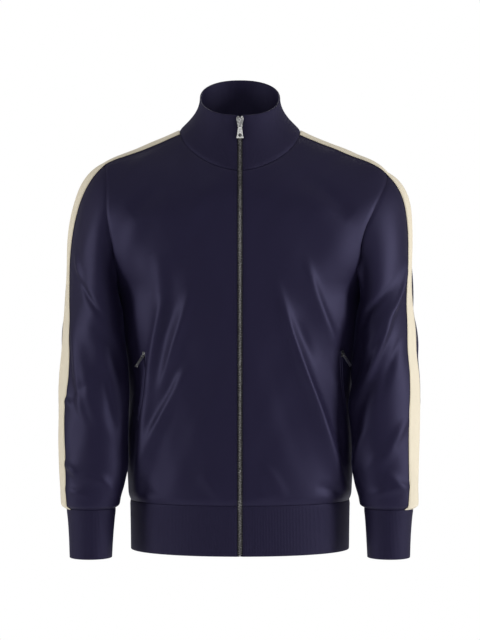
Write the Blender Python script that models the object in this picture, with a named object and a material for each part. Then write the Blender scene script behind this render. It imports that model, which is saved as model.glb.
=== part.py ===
"""Track sweatshirt: a zip-front jacket with a stand collar, filled out as if worn.

The cloth is one surface, worked out from sections of the torso, sleeves and collar.
It is then cut along its seams into the pieces that a maker would sew, and each piece
becomes a thin closed wall. Lengths in the tables are millimetres, and the meshes are
metres. +X is the wearer's left, -Y is the front, +Z is up, and the origin is level
with the tops of the shoulder seams, in the middle of the neck.
"""
import itertools
import math

import bmesh
import bpy
import numpy as np
from mathutils import Matrix, Vector

MM = 0.001
LEFT = 1
RIGHT = -1
SIDES = {"left": LEFT, "right": RIGHT}


def table(columns, rows):
    """Name the columns of a table of numbers."""
    data = np.array(rows, dtype=float)
    return {name: data[:, i] for i, name in enumerate(columns.split())}


# Torso by height: half the width, and how far the front and back stand from the side seams.
TORSO = table("z half_width front back", [
    (60, 262, 99, 86),
    (0, 262, 99, 91),
    (-70, 262, 103, 105),
    (-110, 262, 111, 111),
    (-130, 261, 115, 113),
    (-160, 253, 120, 114),
    (-190, 238, 124, 113),
    (-220, 218, 127, 111),
    (-240, 203.5, 128, 109),
    (-250, 198, 128, 108),
    (-264, 193.5, 128, 107),
    (-290, 190.3, 128, 104),
    (-315, 188.2, 127, 102),
    (-353, 183.3, 125, 99),
    (-391, 179, 123, 97),
    (-418, 177.5, 122, 97),
    (-449, 178.5, 121, 98),
    (-482, 180.5, 121, 100),
    (-525, 180.5, 120, 104),
    (-560, 179, 120, 107),
    (-578, 178, 120, 109),
    (-589, 175, 118, 108),
    (-600, 174.5, 117, 108),
    (-667, 173.5, 115, 107),
])
CORNER = {"front": 2.1, "back": 2.6}  # superellipse exponent of the torso's sections

# Shoulder line seen from the front, then how soon the front and back drop away below it,
# and how sharply each leaves it (1 is a crease and 2 is round).
RIDGE = table("x z front_drop back_drop front_round back_round", [
    (0, 40, 150, 130, 1.25, 1.60),
    (96, 0, 150, 125, 1.25, 1.55),
    (115, -8, 147, 124, 1.28, 1.58),
    (160, -27, 130, 118, 1.40, 1.68),
    (185, -37, 118, 112, 1.52, 1.75),
    (207, -46.5, 106, 103, 1.65, 1.80),
    (223, -56, 96, 94, 1.78, 1.88),
    (234, -66, 90, 88, 1.88, 1.92),
    (242, -75, 85, 84, 1.95, 1.96),
    (262, -110, 78, 78, 2.00, 2.00),
])
RIDGE_WIDTH = 262  # the torso's half-width along the shoulder line

NECK_HALF_WIDTH = 96
NECK_FRONT_Z = -70.5
NECK_BACK_Z = -6
NECK_CURVE = {"front": 1.7, "back": 2.4}
HEM_SEAM_Z = -589
HEM_Z = -667
UNDERARM_Z = -250
CHEST_Z = -290  # where the row of cells from the underarm meets the centre front and back
ZIP_EDGE_X = 3.8  # the cloth stops this far each side of the centre front

# Armhole seams seen from the front, from the shoulder line to the underarm.
ARMHOLES = {
    ("left", "front"): table("x z", [
        (235, -67), (233, -82), (221, -108), (207, -136), (195, -162), (189, -188),
        (186.5, -214), (187.5, -236), (191.5, -246.5), (198, -250)]),
    ("left", "back"): table("x z", [
        (235, -67), (233, -84), (225, -112), (215, -145), (206, -178), (200, -208),
        (196, -232), (195, -245.5), (198, -250)]),
    ("right", "front"): table("x z", [
        (217, -52.5), (213.5, -66), (211, -92), (209.5, -124), (205, -160), (199.5, -192),
        (194.5, -220), (192.5, -238), (194.5, -247.5), (198, -250)]),
    ("right", "back"): table("x z", [
        (217, -52.5), (214.5, -68), (213, -98), (211, -132), (206, -168), (201, -202),
        (197, -230), (195.5, -245.5), (198, -250)]),
}

# Sleeves from below the underarm to the end of the cuff: how far out the outer and inner edges
# are, where the middle lies from front to back, half the depth, how far the front leans inward,
# and how far the stripe's front edge is in from the outer edge.
SLEEVE_COLUMNS = "z outer inner y half_depth lean stripe_in"
SLEEVES = {
    "left": table(SLEEVE_COLUMNS, [
        (-290, 279.0, 188.3, -12, 71, 0.26, 16.5),
        (-315, 281.0, 186.2, -16, 69, 0.26, 18.0),
        (-353, 283.5, 181.2, -22, 65, 0.26, 20.0),
        (-391, 286.0, 176.8, -27, 60, 0.24, 21.0),
        (-418, 286.5, 175.4, -31, 58, 0.22, 21.5),
        (-449, 285.5, 176.5, -35, 56, 0.20, 22.0),
        (-482, 284.0, 178.4, -39, 54, 0.16, 21.0),
        (-525, 281.6, 178.8, -44, 51, 0.10, 19.5),
        (-560, 280.5, 182.0, -48, 49, 0.05, 18.0),
        (-580, 280.0, 186.0, -51, 46, 0.00, 18.0),
        (-592, 279.0, 188.5, -52, 43, 0.00, 18.0),
        (-598, 272.2, 195.0, -53, 38, 0.00, 17.0),
        (-612, 269.8, 197.0, -54, 37, 0.00, 16.0),
        (-645, 267.0, 199.0, -58, 36, 0.00, 15.0),
        (-674, 265.6, 200.2, -62, 35, 0.00, 15.0)]),
    "right": table(SLEEVE_COLUMNS, [
        (-290, 281.5, 188.5, -12, 71, 0.26, 12.5),
        (-315, 283.4, 186.4, -16, 69, 0.26, 15.5),
        (-353, 285.0, 181.4, -22, 65, 0.26, 18.0),
        (-391, 286.8, 176.8, -27, 60, 0.24, 17.5),
        (-418, 287.5, 175.3, -31, 58, 0.22, 15.0),
        (-449, 287.3, 176.4, -35, 56, 0.20, 13.0),
        (-482, 286.0, 178.4, -39, 54, 0.16, 12.7),
        (-525, 284.0, 179.0, -44, 51, 0.10, 12.0),
        (-560, 282.3, 182.5, -48, 49, 0.05, 11.0),
        (-580, 281.0, 187.0, -51, 46, 0.00, 10.5),
        (-592, 279.5, 189.5, -52, 43, 0.00, 10.0),
        (-598, 272.4, 195.2, -53, 38, 0.00, 9.5),
        (-612, 270.0, 197.2, -54, 37, 0.00, 9.5),
        (-645, 267.4, 199.8, -58, 36, 0.00, 9.5),
        (-674, 266.0, 201.2, -62, 35, 0.00, 9.5)]),
}
SLEEVE_TOP_Z = -290
BELOW_TOP = 20      # the sleeve's slant is taken over this much height below its top
HEAD_OUT = 0.32     # how far a sleeve head leaves the armhole sideways at the underarm
HEAD_OUT_MORE = 0.91  # and how much further at the shoulder
HEAD_UP = 0.30      # its rise there
HEAD_START = 0.9    # strength of the sleeve head's curve at the armhole
HEAD_END = 1.0      # and at the first ring, at the underarm
HEAD_END_MORE = 0.3   # and how much stronger there at the shoulder
CUFF_SEAM_Z = -598
CUFF_Z = -674
STRIPE_WIDTH = 36

COLLAR_RIM = {"half_width": 63.4, "front_y": -75, "back_y": 65, "middle_y": -5,
              "front_z": 17.5, "back_z": 89.5, "curve": 2.25,
              # how soon the collar draws in to its rim at front and back, and more so at the sides
              "draw": 1.5, "side_draw": 0.9, "side_late": 0.2}

# Largest folds: a soft ridge (height above 0) or trough from one end to the other. On the torso
# the ends are x and z. On a sleeve they are the distance round it from its outermost line
# (forward is above 0) and z. Bow bends the middle sideways, and width is half its breadth.
FOLD_COLUMNS = "start_at start_z end_at end_z bow width height"
FOLDS = {
    "front": table(FOLD_COLUMNS, [
        (55, -272, 158, -560, -10, 17, 6.0),
        (102, -235, 152, -345, -4, 13, 3.5),
        (40, -300, 118, -560, -10, 20, -3.0),
        (118, -330, 160, -470, 6, 16, -3.5),
        (-120, -262, -160, -560, 8, 16, 5.0),
        (-72, -255, -128, -420, -6, 13, 4.0),
        (-84, -380, -152, -545, -8, 15, 4.5),
        (-100, -285, -132, -400, -4, 12, -3.5),
        (-98, -395, -142, -520, 4, 12, -3.0),
    ]),
    "back": table(FOLD_COLUMNS, [
        (150, -190, 60, -330, 12, 20, 4.5),
        (-150, -200, -70, -350, -12, 20, 4.0),
        (100, -360, 40, -560, 10, 18, 4.0),
        (-90, -370, -30, -555, -8, 18, 4.0),
        (0, -300, 10, -540, 8, 22, -3.0),
    ]),
    "sleeve_left": table(FOLD_COLUMNS, [
        (35, -215, 120, -390, -8, 12, 6.0),
        (95, -345, 150, -420, 0, 20, -9.0),
        (60, -360, 120, -480, 6, 13, -4.0),
        (-40, -300, -120, -420, 8, 15, 5.0),
        (-50, -420, -125, -400, 0, 13, -4.0),
        (40, -500, 100, -540, 0, 13, 3.0),
    ]),
    "sleeve_right": table(FOLD_COLUMNS, [
        (30, -315, 95, -480, -6, 13, 5.0),
        (70, -300, 130, -400, 0, 15, -4.0),
        (15, -430, 70, -400, 0, 10, -3.0),
        (-40, -300, -120, -420, 8, 15, 5.0),
        (-50, -420, -125, -400, 0, 13, -4.0),
        (20, -530, 90, -555, 0, 12, 3.0),
    ]),
}

FOLD_END_LEVEL = 0.15  # the share of a fold's height that is left at its two ends
# Folds die away over these distances from the side seams, hem seam, zip and cuff seam, and
# over these shares of the sleeve head's rows and of the way round from the underarm.
SIDE_FADE = 9
HEM_FADE = 22
ZIP_FADE_START = 6
ZIP_FADE = 30
CUFF_FADE = 18
HEAD_FADE = 0.5
UNDERARM_FADE = 0.22

SEAM_HALF_GAP = 0.15
MERGE_DISTANCE = 0.02
WALLS = {  # how far each piece's outer and inner faces stand from the cloth surface
    "body": (0.0, -2.0),
    "rib": (0.8, -2.0),
    "stripe": (1.3, 0.3),
}

LINE_STEPS = 200    # closely spaced places on a seam's line
CURVE_STEPS = 400   # and on a curved one

# Cells of the cloth grids.
STRIPE_CELLS = 2   # on each half of the stripe
NECK_CELLS = {"front": 4, "back": 3}  # from the stripe to the middle of the neck
ARMHOLE_CELLS = 10
ACROSS_CELLS = 11  # from the middle of the front or back to the side
SIDE_CELLS = 13
SLEEVE_HEAD_CELLS = 8
SLEEVE_CELLS = 14
COLLAR_CELLS = 6
HEM_CELLS = 3
CUFF_CELLS = 3

# Main zip, with a slider at the top of the collar.
CHAIN_HALF_WIDTH = 3.5
CHAIN_FRONT = 0.8
CHAIN_BACK = -2.0
TAPE_INNER_X = 0.4
TAPE_OUTER_X = 14
TAPE_FRONT = -2.3
TAPE_BACK = -3.3
SLIDER_Z = 7.0
ZIP_TOP_ABOVE_SLIDER = 2
MAIN_ZIP = {
    "length": 17, "top_width": 11.4, "bottom_width": 8.2, "notch": 3.4,
    "plate_low": 1.2, "plate_high": 2.6, "back_low": -5.2, "back_high": -3.8,
    "hinge_s": -5.5, "hinge_n": 4.2, "tilt": 0.8,
    "pull_length": 21.8, "pull_top": 6.2, "pull_bottom": 11.6, "hole": 2.7, "hole_from_end": 4.9,
}
POCKET_ZIP = {
    "length": 10, "top_width": 6.4, "bottom_width": 4.6, "notch": 1.8,
    "plate_low": 0.0, "plate_high": 2.2, "back_low": None, "back_high": None,
    "hinge_s": -2.2, "hinge_n": 3.5, "tilt": 40,
    "pull_length": 20.5, "pull_top": 4.8, "pull_bottom": 5.8, "hole": 1.3, "hole_from_end": 3.2,
}
BAR_RADIUS = 0.7
BAIL_HALF_WIDTH = 1.0
BAIL_REACH = 1.6     # from the hinge to the inside of each leg
BAIL_THICKNESS = 1.1
BAIL_CLEARANCE = 0.35
PULL_THICKNESS = 1.5
EYE_HALF_WIDTH = 1.4
EYE_LENGTH = 3.9     # from the hinge to the end of the eye
RAIL_HALF_WIDTH = 2.6

# Pockets seen from the front: the top and bottom of each slanted zip.
POCKETS = {
    "left": {"top": (158, -349), "bottom": (168, -455)},
    "right": {"top": (147, -351), "bottom": (160, -460)},
}
POCKET_HALF_WIDTH = 4.5
POCKET_OFFSET = (1.5, 0.5)
POCKET_STEPS = 14
POCKET_SLIDER_CLEARANCE = 0.4  # the slider's foot stands this far off the lips
POCKET_SLIDER_DROP = 0.55      # its middle is this share of its length below the pocket's top

COLOURS = {
    "navy": ((0.018, 0.014, 0.045), 0.85, 0.0),
    "navy_rib": ((0.021, 0.017, 0.052), 0.85, 0.0),
    "cream": ((0.72, 0.66, 0.50), 0.8, 0.0),
    "navy_tape": ((0.015, 0.013, 0.035), 0.8, 0.0),
    "chain_metal": ((0.42, 0.38, 0.32), 0.4, 1.0),
    "silver": ((0.75, 0.75, 0.74), 0.25, 1.0),
}


def smooth(at, xs, ys):
    """A smooth curve through table points, with no overshoot, and flat past its ends."""
    order = np.argsort(xs)
    xs, ys = xs[order], ys[order]
    at = np.clip(at, xs[0], xs[-1])
    step = np.diff(xs)
    slope = np.diff(ys) / step
    bend = np.concatenate([slope[:1], np.zeros(len(slope) - 1), slope[-1:]])
    same = slope[:-1] * slope[1:] > 0
    total = np.where(same, slope[:-1] + slope[1:], 1.0)
    bend[1:-1] = np.where(same, 2 * slope[:-1] * slope[1:] / total, 0.0)
    i = np.clip(np.searchsorted(xs, at) - 1, 0, len(step) - 1)
    t = (at - xs[i]) / step[i]
    start = (1 + 2 * t) * (1 - t) ** 2 * ys[i] + t * (1 - t) ** 2 * step[i] * bend[i]
    end = t * t * (3 - 2 * t) * ys[i + 1] - t * t * (1 - t) * step[i] * bend[i + 1]
    return start + end


def column(data, name, at, by="z"):
    return smooth(at, data[by], data[name])


def unit(vectors):
    length = np.linalg.norm(vectors, axis=-1, keepdims=True)
    return vectors / np.maximum(length, 1e-12)


def lengths_along(points):
    steps = np.linalg.norm(np.diff(points, axis=0), axis=1)
    return np.concatenate([[0.0], np.cumsum(steps)])


def marks(stops, cells):
    """Distances from stop to stop, evenly spaced with so many cells between each two."""
    runs = [np.linspace(a, b, n + 1)[:-1] for a, b, n in zip(stops[:-1], stops[1:], cells)]
    return np.concatenate(runs + [[stops[-1]]])


# ---- torso -----------------------------------------------------------------------------


def torso_point(face, p, a):
    """The torso's surface on the wearer's left. p runs from 0 at the centre to 1 at the side
    seam, and a from 0 on the shoulder line through a quarter turn to the upright wall."""
    corner = CORNER[face]
    ratio = np.sin(p * math.pi / 2) ** (2 / corner)
    ridge_x = ratio * RIDGE_WIDTH
    over = np.maximum(a - math.pi / 2, 0.0)
    bent = np.minimum(a, math.pi / 2)
    drop = column(RIDGE, face + "_drop", ridge_x, "x") * (1 - np.cos(bent) + over)
    z = column(RIDGE, "z", ridge_x, "x") - drop
    closing = np.sin(bent) ** (2 / column(RIDGE, face + "_round", ridge_x, "x"))
    depth = column(TORSO, face, z) * np.maximum(np.cos(p * math.pi / 2), 0) ** (2 / corner)
    y = depth * closing * (-1 if face == "front" else 1)
    return np.stack([column(TORSO, "half_width", z) * ratio, y, z], axis=-1)


def closing_angle(face, p, z):
    """The a of the surface point at p and this height."""
    ridge_x = np.sin(p * math.pi / 2) ** (2 / CORNER[face]) * RIDGE_WIDTH
    t = (column(RIDGE, "z", ridge_x, "x") - z) / column(RIDGE, face + "_drop", ridge_x, "x")
    return np.where(t < 1, np.arccos(1 - np.clip(t, 0, 1)), math.pi / 2 + t - 1)


def torso_place(face, x, z):
    """The p and a of the surface point seen at x, z."""
    ratio = np.clip(x / column(TORSO, "half_width", z), 0, 1)
    p = np.arcsin(ratio ** (CORNER[face] / 2)) * 2 / math.pi
    return np.stack([p, closing_angle(face, p, z)], axis=-1)


def place_at(face, places, distances):
    """Places at these distances along a line of closely spaced places."""
    run = lengths_along(torso_point(face, places[:, 0], places[:, 1]))
    return np.stack([np.interp(distances, run, places[:, i]) for i in (0, 1)], axis=-1)


def line_length(face, places):
    return lengths_along(torso_point(face, places[:, 0], places[:, 1]))[-1]


def dense(points, count=CURVE_STEPS):
    """Many points on a smooth curve through these few."""
    points = np.array(points, dtype=float)
    run = lengths_along(points)
    at = np.linspace(0, run[-1], count)
    return np.stack([spline(at, run, points[:, i]) for i in range(points.shape[1])], axis=-1)


def spline(at, xs, ys):
    """A natural cubic spline."""
    n = len(xs)
    step = np.diff(xs)
    system = np.eye(n)
    right = np.zeros(n)
    for i in range(1, n - 1):
        system[i, i - 1:i + 2] = (step[i - 1], 2 * (step[i - 1] + step[i]), step[i])
        right[i] = 6 * ((ys[i + 1] - ys[i]) / step[i] - (ys[i] - ys[i - 1]) / step[i - 1])
    second = np.linalg.solve(system, right)
    i = np.clip(np.searchsorted(xs, at) - 1, 0, n - 2)
    low, high = at - xs[i], xs[i + 1] - at
    cubic = (second[i] * high ** 3 + second[i + 1] * low ** 3) / (6 * step[i])
    return (cubic + (ys[i] / step[i] - second[i] * step[i] / 6) * high
            + (ys[i + 1] / step[i] - second[i + 1] * step[i] / 6) * low)


def armhole_places(side, face):
    seam = ARMHOLES[side, face]
    places = dense(torso_place(face, seam["x"], seam["z"]))
    places[0, 1] = 0.0
    places[-1, 0] = 1.0
    places[:, 0] = np.clip(places[:, 0], 0, 1)
    places[:, 1] = np.maximum(places[:, 1], 0)
    return places


def neck_places(face):
    """The neck seam, from the shoulder line to the centre front or centre back."""
    turn = np.linspace(0, math.pi / 2, CURVE_STEPS)
    power = 2 / NECK_CURVE[face]
    x = NECK_HALF_WIDTH * np.cos(turn) ** power
    low = NECK_FRONT_Z if face == "front" else NECK_BACK_Z
    end_x = ZIP_EDGE_X if face == "front" else 0.0
    keep = x > end_x
    x = np.append(x[keep], end_x)
    z = np.append(low * np.sin(turn[keep]) ** power, low)
    places = torso_place(face, x, z)
    places[0, 1] = 0.0
    return places


def centre_places(face, top, bottom):
    x = ZIP_EDGE_X if face == "front" else 0.0
    z = np.linspace(top, bottom, LINE_STEPS)
    return torso_place(face, np.full_like(z, x), z)


def side_places(face):
    z = np.linspace(UNDERARM_Z, HEM_SEAM_Z, LINE_STEPS)
    places = torso_place(face, column(TORSO, "half_width", z), z)
    places[:, 0] = 1.0
    return places


def fill(face, top, bottom, left, right):
    """Places of a whole grid from those of its four edges, in rows from the top down. They are
    blended by p and height."""
    def run(edge):
        at = lengths_along(torso_point(face, edge[:, 0], edge[:, 1]))
        return at / at[-1]
    v = ((run(left) + run(right)) / 2)[:, None, None]
    u = ((run(top) + run(bottom)) / 2)[None, :, None]
    top, bottom, left, right = (
        np.stack([edge[:, 0], torso_point(face, edge[:, 0], edge[:, 1])[:, 2]], axis=-1)
        for edge in (top, bottom, left, right))
    bend_at_top = top[None] - (1 - u) * top[0] - u * top[-1]
    bend_at_bottom = bottom[None] - (1 - u) * bottom[0] - u * bottom[-1]
    blend = (1 - u) * left[:, None] + u * right[:, None]
    blend = blend + (1 - v) ** 3 * bend_at_top + v * bend_at_bottom
    p = np.clip(blend[..., 0], 0, 1)
    return p, closing_angle(face, p, blend[..., 1])


def edge_places(face, lines, cells):
    """Grid points on an edge made of lines end to end, with the stripe's half-width first."""
    lengths = np.cumsum([line_length(face, line) for line in lines])
    at = marks([0, STRIPE_WIDTH / 2, *lengths], cells)
    return place_at(face, np.concatenate([lines[0]] + [line[1:] for line in lines[1:]]), at)


def torso_grid(side, face):
    """Half the front or back: the shoulder seam is its top edge and the hem seam its bottom."""
    right = edge_places(face, [armhole_places(side, face), side_places(face)],
                        (STRIPE_CELLS, ARMHOLE_CELLS, SIDE_CELLS))
    neck_cells = NECK_CELLS[face]
    centre_top = NECK_FRONT_Z if face == "front" else NECK_BACK_Z
    left = edge_places(face, [neck_places(face), centre_places(face, centre_top, CHEST_Z),
                              centre_places(face, CHEST_Z, HEM_SEAM_Z)],
                       (STRIPE_CELLS, neck_cells, ARMHOLE_CELLS - neck_cells, SIDE_CELLS))
    shoulder_x = np.linspace(NECK_HALF_WIDTH, ARMHOLES[side, face]["x"][0], ACROSS_CELLS + 1)
    top = torso_place(face, shoulder_x, column(RIDGE, "z", shoulder_x, "x"))
    top[:, 1] = 0.0
    top[0], top[-1] = left[0], right[0]
    hem_x = column(TORSO, "half_width", HEM_SEAM_Z)
    p = np.linspace(left[-1, 0], 1, LINE_STEPS)
    hem = torso_place(face, hem_x * np.sin(p * math.pi / 2) ** (2 / CORNER[face]),
                      np.full_like(p, HEM_SEAM_Z))
    hem[:, 0] = p
    bottom = place_at(face, hem, np.linspace(0, line_length(face, hem), ACROSS_CELLS + 1))
    grid = torso_point(face, *fill(face, top, bottom, left, right))
    if face == "front":
        neck_row = STRIPE_CELLS + neck_cells
        grid[neck_row:, 0, 0] = ZIP_EDGE_X
    return grid * (SIDES[side], 1, 1)


def hem_grid(top_edge):
    """The hem band hangs from the bottom edge of the fronts and back."""
    rows = []
    for z in np.linspace(HEM_SEAM_Z, HEM_Z, HEM_CELLS + 1):
        grow = np.where(top_edge[:, 1] < 0, column(TORSO, "front", z) / column(TORSO, "front", HEM_SEAM_Z),
                        column(TORSO, "back", z) / column(TORSO, "back", HEM_SEAM_Z))
        widen = column(TORSO, "half_width", z) / column(TORSO, "half_width", HEM_SEAM_Z)
        at_zip = np.abs(top_edge[:, 0]) <= ZIP_EDGE_X + 0.01
        x = np.where(at_zip, top_edge[:, 0], top_edge[:, 0] * widen)
        rows.append(np.stack([x, top_edge[:, 1] * grow, np.full(len(x), z)], axis=-1))
    return np.stack(rows)


# ---- sleeves ---------------------------------------------------------------------------


def sleeve_section(side, z):
    """The section's middle, half its width across the lean, the lean's own share, and depth."""
    data = SLEEVES[side]
    outer, inner = column(data, "outer", z), column(data, "inner", z)
    deep = column(data, "half_depth", z)
    leaning = column(data, "lean", z) * deep
    wide = np.sqrt(((outer - inner) / 2) ** 2 - leaning ** 2)
    return (outer + inner) / 2, wide, leaning, deep


def sleeve_point(side, z, turn):
    """A point round the sleeve: turn is 0 on the outside and a quarter turn at the front."""
    data = SLEEVES[side]
    middle, wide, leaning, deep = sleeve_section(side, z)
    x = middle + wide * np.cos(turn) - leaning * np.sin(turn)
    y = column(data, "y", z) - deep * np.sin(turn)
    return np.stack([x * SIDES[side], y, z + 0 * turn], axis=-1)


def stripe_turns(side, z):
    """Where the stripe's front and back edges lie round the sleeve at this height."""
    _, wide, leaning, _ = sleeve_section(side, z)
    reach = np.hypot(wide, leaning)
    outermost = -np.arctan2(leaning, wide)
    front = outermost + np.arccos(1 - column(SLEEVES[side], "stripe_in", z) / reach)
    fan = np.linspace(front - 1.2, front, 60)
    run = lengths_along(sleeve_point(side, np.full(60, float(z)), fan))
    back = np.interp(run[-1] - STRIPE_WIDTH, run, fan)
    return front, back


def sleeve_turns(side, z, share):
    """Turns of every column. share runs 0 to 1 over half the stripe, then 1 to 2 to the
    underarm, and is below 0 at the back."""
    front, back = stripe_turns(side, z)
    middle = (front + back) / 2
    ahead = np.where(share <= 1, middle + (front - middle) * share,
                     front + (math.pi - front) * (share - 1))
    behind = np.where(share >= -1, middle - (back - middle) * share,
                      back + (-math.pi - back) * (-share - 1))
    return np.where(share >= 0, ahead, behind)


def armhole_loop(side):
    """The armhole from the shoulder round the front and back, with the torso's normals."""
    half_stripe = STRIPE_WIDTH / 2
    halves = {}
    for face in ("front", "back"):
        line = armhole_places(side, face)
        total = line_length(face, line)
        at = marks((0, half_stripe, total), (STRIPE_CELLS, ARMHOLE_CELLS))
        places = place_at(face, line, at)
        points = torso_point(face, places[:, 0], places[:, 1])
        share = np.where(at <= half_stripe, at / half_stripe,
                         1 + (at - half_stripe) / (total - half_stripe))
        halves[face] = (points * (SIDES[side], 1, 1), share)
    points = np.concatenate([halves["front"][0], halves["back"][0][-2::-1]])
    share = np.concatenate([halves["front"][1], -halves["back"][1][-2::-1]])
    return points, share


def sleeve_head(side, points, share):
    """From the armhole to the first ring: each column is a curve between them."""
    ring = sleeve_point(side, np.full(len(share), float(SLEEVE_TOP_Z)),
                        sleeve_turns(side, SLEEVE_TOP_Z, share))
    below_z = float(SLEEVE_TOP_Z - BELOW_TOP)
    below = sleeve_point(side, np.full(len(share), below_z), sleeve_turns(side, below_z, share))
    chord = ring - points
    reach = np.linalg.norm(chord, axis=1, keepdims=True)
    turn = np.minimum(np.abs(share), 2) / 2 * math.pi
    level = np.cos(turn / 2)[:, None] ** 2
    outward = np.array([SIDES[side], 0.0, 0.0])
    sideways = outward * (HEAD_OUT + HEAD_OUT_MORE * level)
    start = unit(chord / reach + sideways + np.array([0, 0, HEAD_UP]) * level)
    end = unit(below - ring)
    rows = []
    for t in np.linspace(0, 1, SLEEVE_HEAD_CELLS + 1):
        rows.append((1 + 2 * t) * (1 - t) ** 2 * points + t * t * (3 - 2 * t) * ring
                    + t * (1 - t) ** 2 * HEAD_START * reach * start
                    - t * t * (1 - t) * (HEAD_END + HEAD_END_MORE * level) * reach * end)
    return np.stack(rows)


def sleeve_grids(side):
    """The sleeve and the cuff below it."""
    points, share = armhole_loop(side)
    head = sleeve_head(side, points, share)
    body_z = marks((SLEEVE_TOP_Z, -578, CUFF_SEAM_Z), (SLEEVE_CELLS - 3, 3))
    cuff_z = np.linspace(CUFF_SEAM_Z, CUFF_Z, CUFF_CELLS + 1)

    def rings(heights):
        return np.stack([sleeve_point(side, np.full(len(share), z), sleeve_turns(side, z, share))
                         for z in heights])
    body = rings(body_z)
    sleeve = np.concatenate([head, body[1:]])
    return sleeve, rings(cuff_z)


# ---- collar ----------------------------------------------------------------------------


def collar_grid(base):
    """The collar rises from the neck seam, drawing in to its rim. base runs from the wearer's
    right edge of the zip round the back to the left edge."""
    run = lengths_along(base)
    side_right = int(np.argmin(base[:, 0]))
    side_left = int(np.argmax(base[:, 0]))
    back = int(np.argmin(np.abs(base[side_right:side_left, 0]))) + side_right
    stops = [0, side_right, back, side_left, len(base) - 1]
    zip_turn = math.acos((ZIP_EDGE_X / COLLAR_RIM["half_width"]) ** (COLLAR_RIM["curve"] / 2))
    turns = [zip_turn - math.pi, -math.pi, -1.5 * math.pi, -2 * math.pi, -2 * math.pi - zip_turn]
    turn = np.interp(run, run[stops], turns)
    power = 2 / COLLAR_RIM["curve"]
    cos, sin = np.cos(turn), np.sin(turn)
    rim_x = COLLAR_RIM["half_width"] * np.sign(cos) * np.abs(cos) ** power
    reach = np.where(sin < 0, COLLAR_RIM["middle_y"] - COLLAR_RIM["front_y"],
                     COLLAR_RIM["back_y"] - COLLAR_RIM["middle_y"])
    rim_y = COLLAR_RIM["middle_y"] + reach * np.sign(sin) * np.abs(sin) ** power
    slope = ((COLLAR_RIM["back_z"] - COLLAR_RIM["front_z"])
             / (COLLAR_RIM["back_y"] - COLLAR_RIM["front_y"]))
    rim_z = COLLAR_RIM["front_z"] + (rim_y - COLLAR_RIM["front_y"]) * slope
    rim = np.stack([rim_x, rim_y, rim_z], axis=-1)
    rim[[0, -1], 0] = base[[0, -1], 0]
    sideways = (cos ** 2)[:, None]
    rows = []
    for h in np.linspace(0, 1, COLLAR_CELLS + 1):
        late = 1 + COLLAR_RIM["side_late"] * sideways
        drawn_in = 1 - (1 - h ** late) ** (COLLAR_RIM["draw"] + COLLAR_RIM["side_draw"] * sideways)
        level = base + (rim - base) * drawn_in
        level[:, 2] = base[:, 2] + (rim[:, 2] - base[:, 2]) * h
        rows.append(level)
    return np.stack(rows)


# ---- folds -----------------------------------------------------------------------------


def fold_height(folds, at, z):
    """How far the folds move the cloth out, at this place."""
    total = np.zeros_like(z)
    for i in range(len(folds["width"])):
        start = np.array([folds["start_at"][i], folds["start_z"][i]])
        end = np.array([folds["end_at"][i], folds["end_z"][i]])
        length = np.linalg.norm(end - start)
        along = (end - start) / length
        dx, dz = at - start[0], z - start[1]
        t = (dx * along[0] + dz * along[1]) / length
        off = dx * -along[1] + dz * along[0] - folds["bow"][i] * 4 * t * (1 - t)
        inside = np.clip(t, 0, 1)
        beyond = (t - inside) * length
        ends = np.sin(math.pi * inside) ** 0.8
        near = np.exp(-(off ** 2 + beyond ** 2) / folds["width"][i] ** 2)
        total += folds["height"][i] * near * (FOLD_END_LEVEL + (1 - FOLD_END_LEVEL) * ends)
    return total


def fade(distance, over):
    """0 at no distance, rising smoothly to 1."""
    t = np.clip(distance / over, 0, 1)
    return t * t * (3 - 2 * t)


def torso_folds(face, grid):
    z = grid[..., 2]
    height = fold_height(FOLDS[face], grid[..., 0], z)
    from_side = column(TORSO, "half_width", z) - np.abs(grid[..., 0])
    from_zip = np.abs(grid[..., 0]) - ZIP_FADE_START
    return (height * fade(from_side, SIDE_FADE) * fade(z - HEM_SEAM_Z, HEM_FADE)
            * fade(from_zip, ZIP_FADE))


def sleeve_folds(side, grid):
    """Distance round each ring is measured from its outermost column."""
    steps = np.linalg.norm(np.diff(grid, axis=1), axis=2)
    run = np.concatenate([np.zeros((len(grid), 1)), np.cumsum(steps, axis=1)], axis=1)
    half = run[:, -1:] / 2
    around = np.where(run > half, run - 2 * half, run)
    z = grid[..., 2]
    height = fold_height(FOLDS["sleeve_" + side], around, z)
    rows = np.arange(len(grid))[:, None] * np.ones(grid.shape[1])
    inner = np.abs(np.abs(around) / half - 1)
    return (height * fade(rows, SLEEVE_HEAD_CELLS * HEAD_FADE) * fade(z - CUFF_SEAM_Z, CUFF_FADE)
            * fade(inner, UNDERARM_FADE))


# ---- the cloth surface and its pieces --------------------------------------------------


BODY_PARTS = (
    ("front_left", "front_right", "back", "hem_band"), ("collar",),
    ("sleeve_left", "cuff_left"), ("sleeve_right", "cuff_right"))


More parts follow.
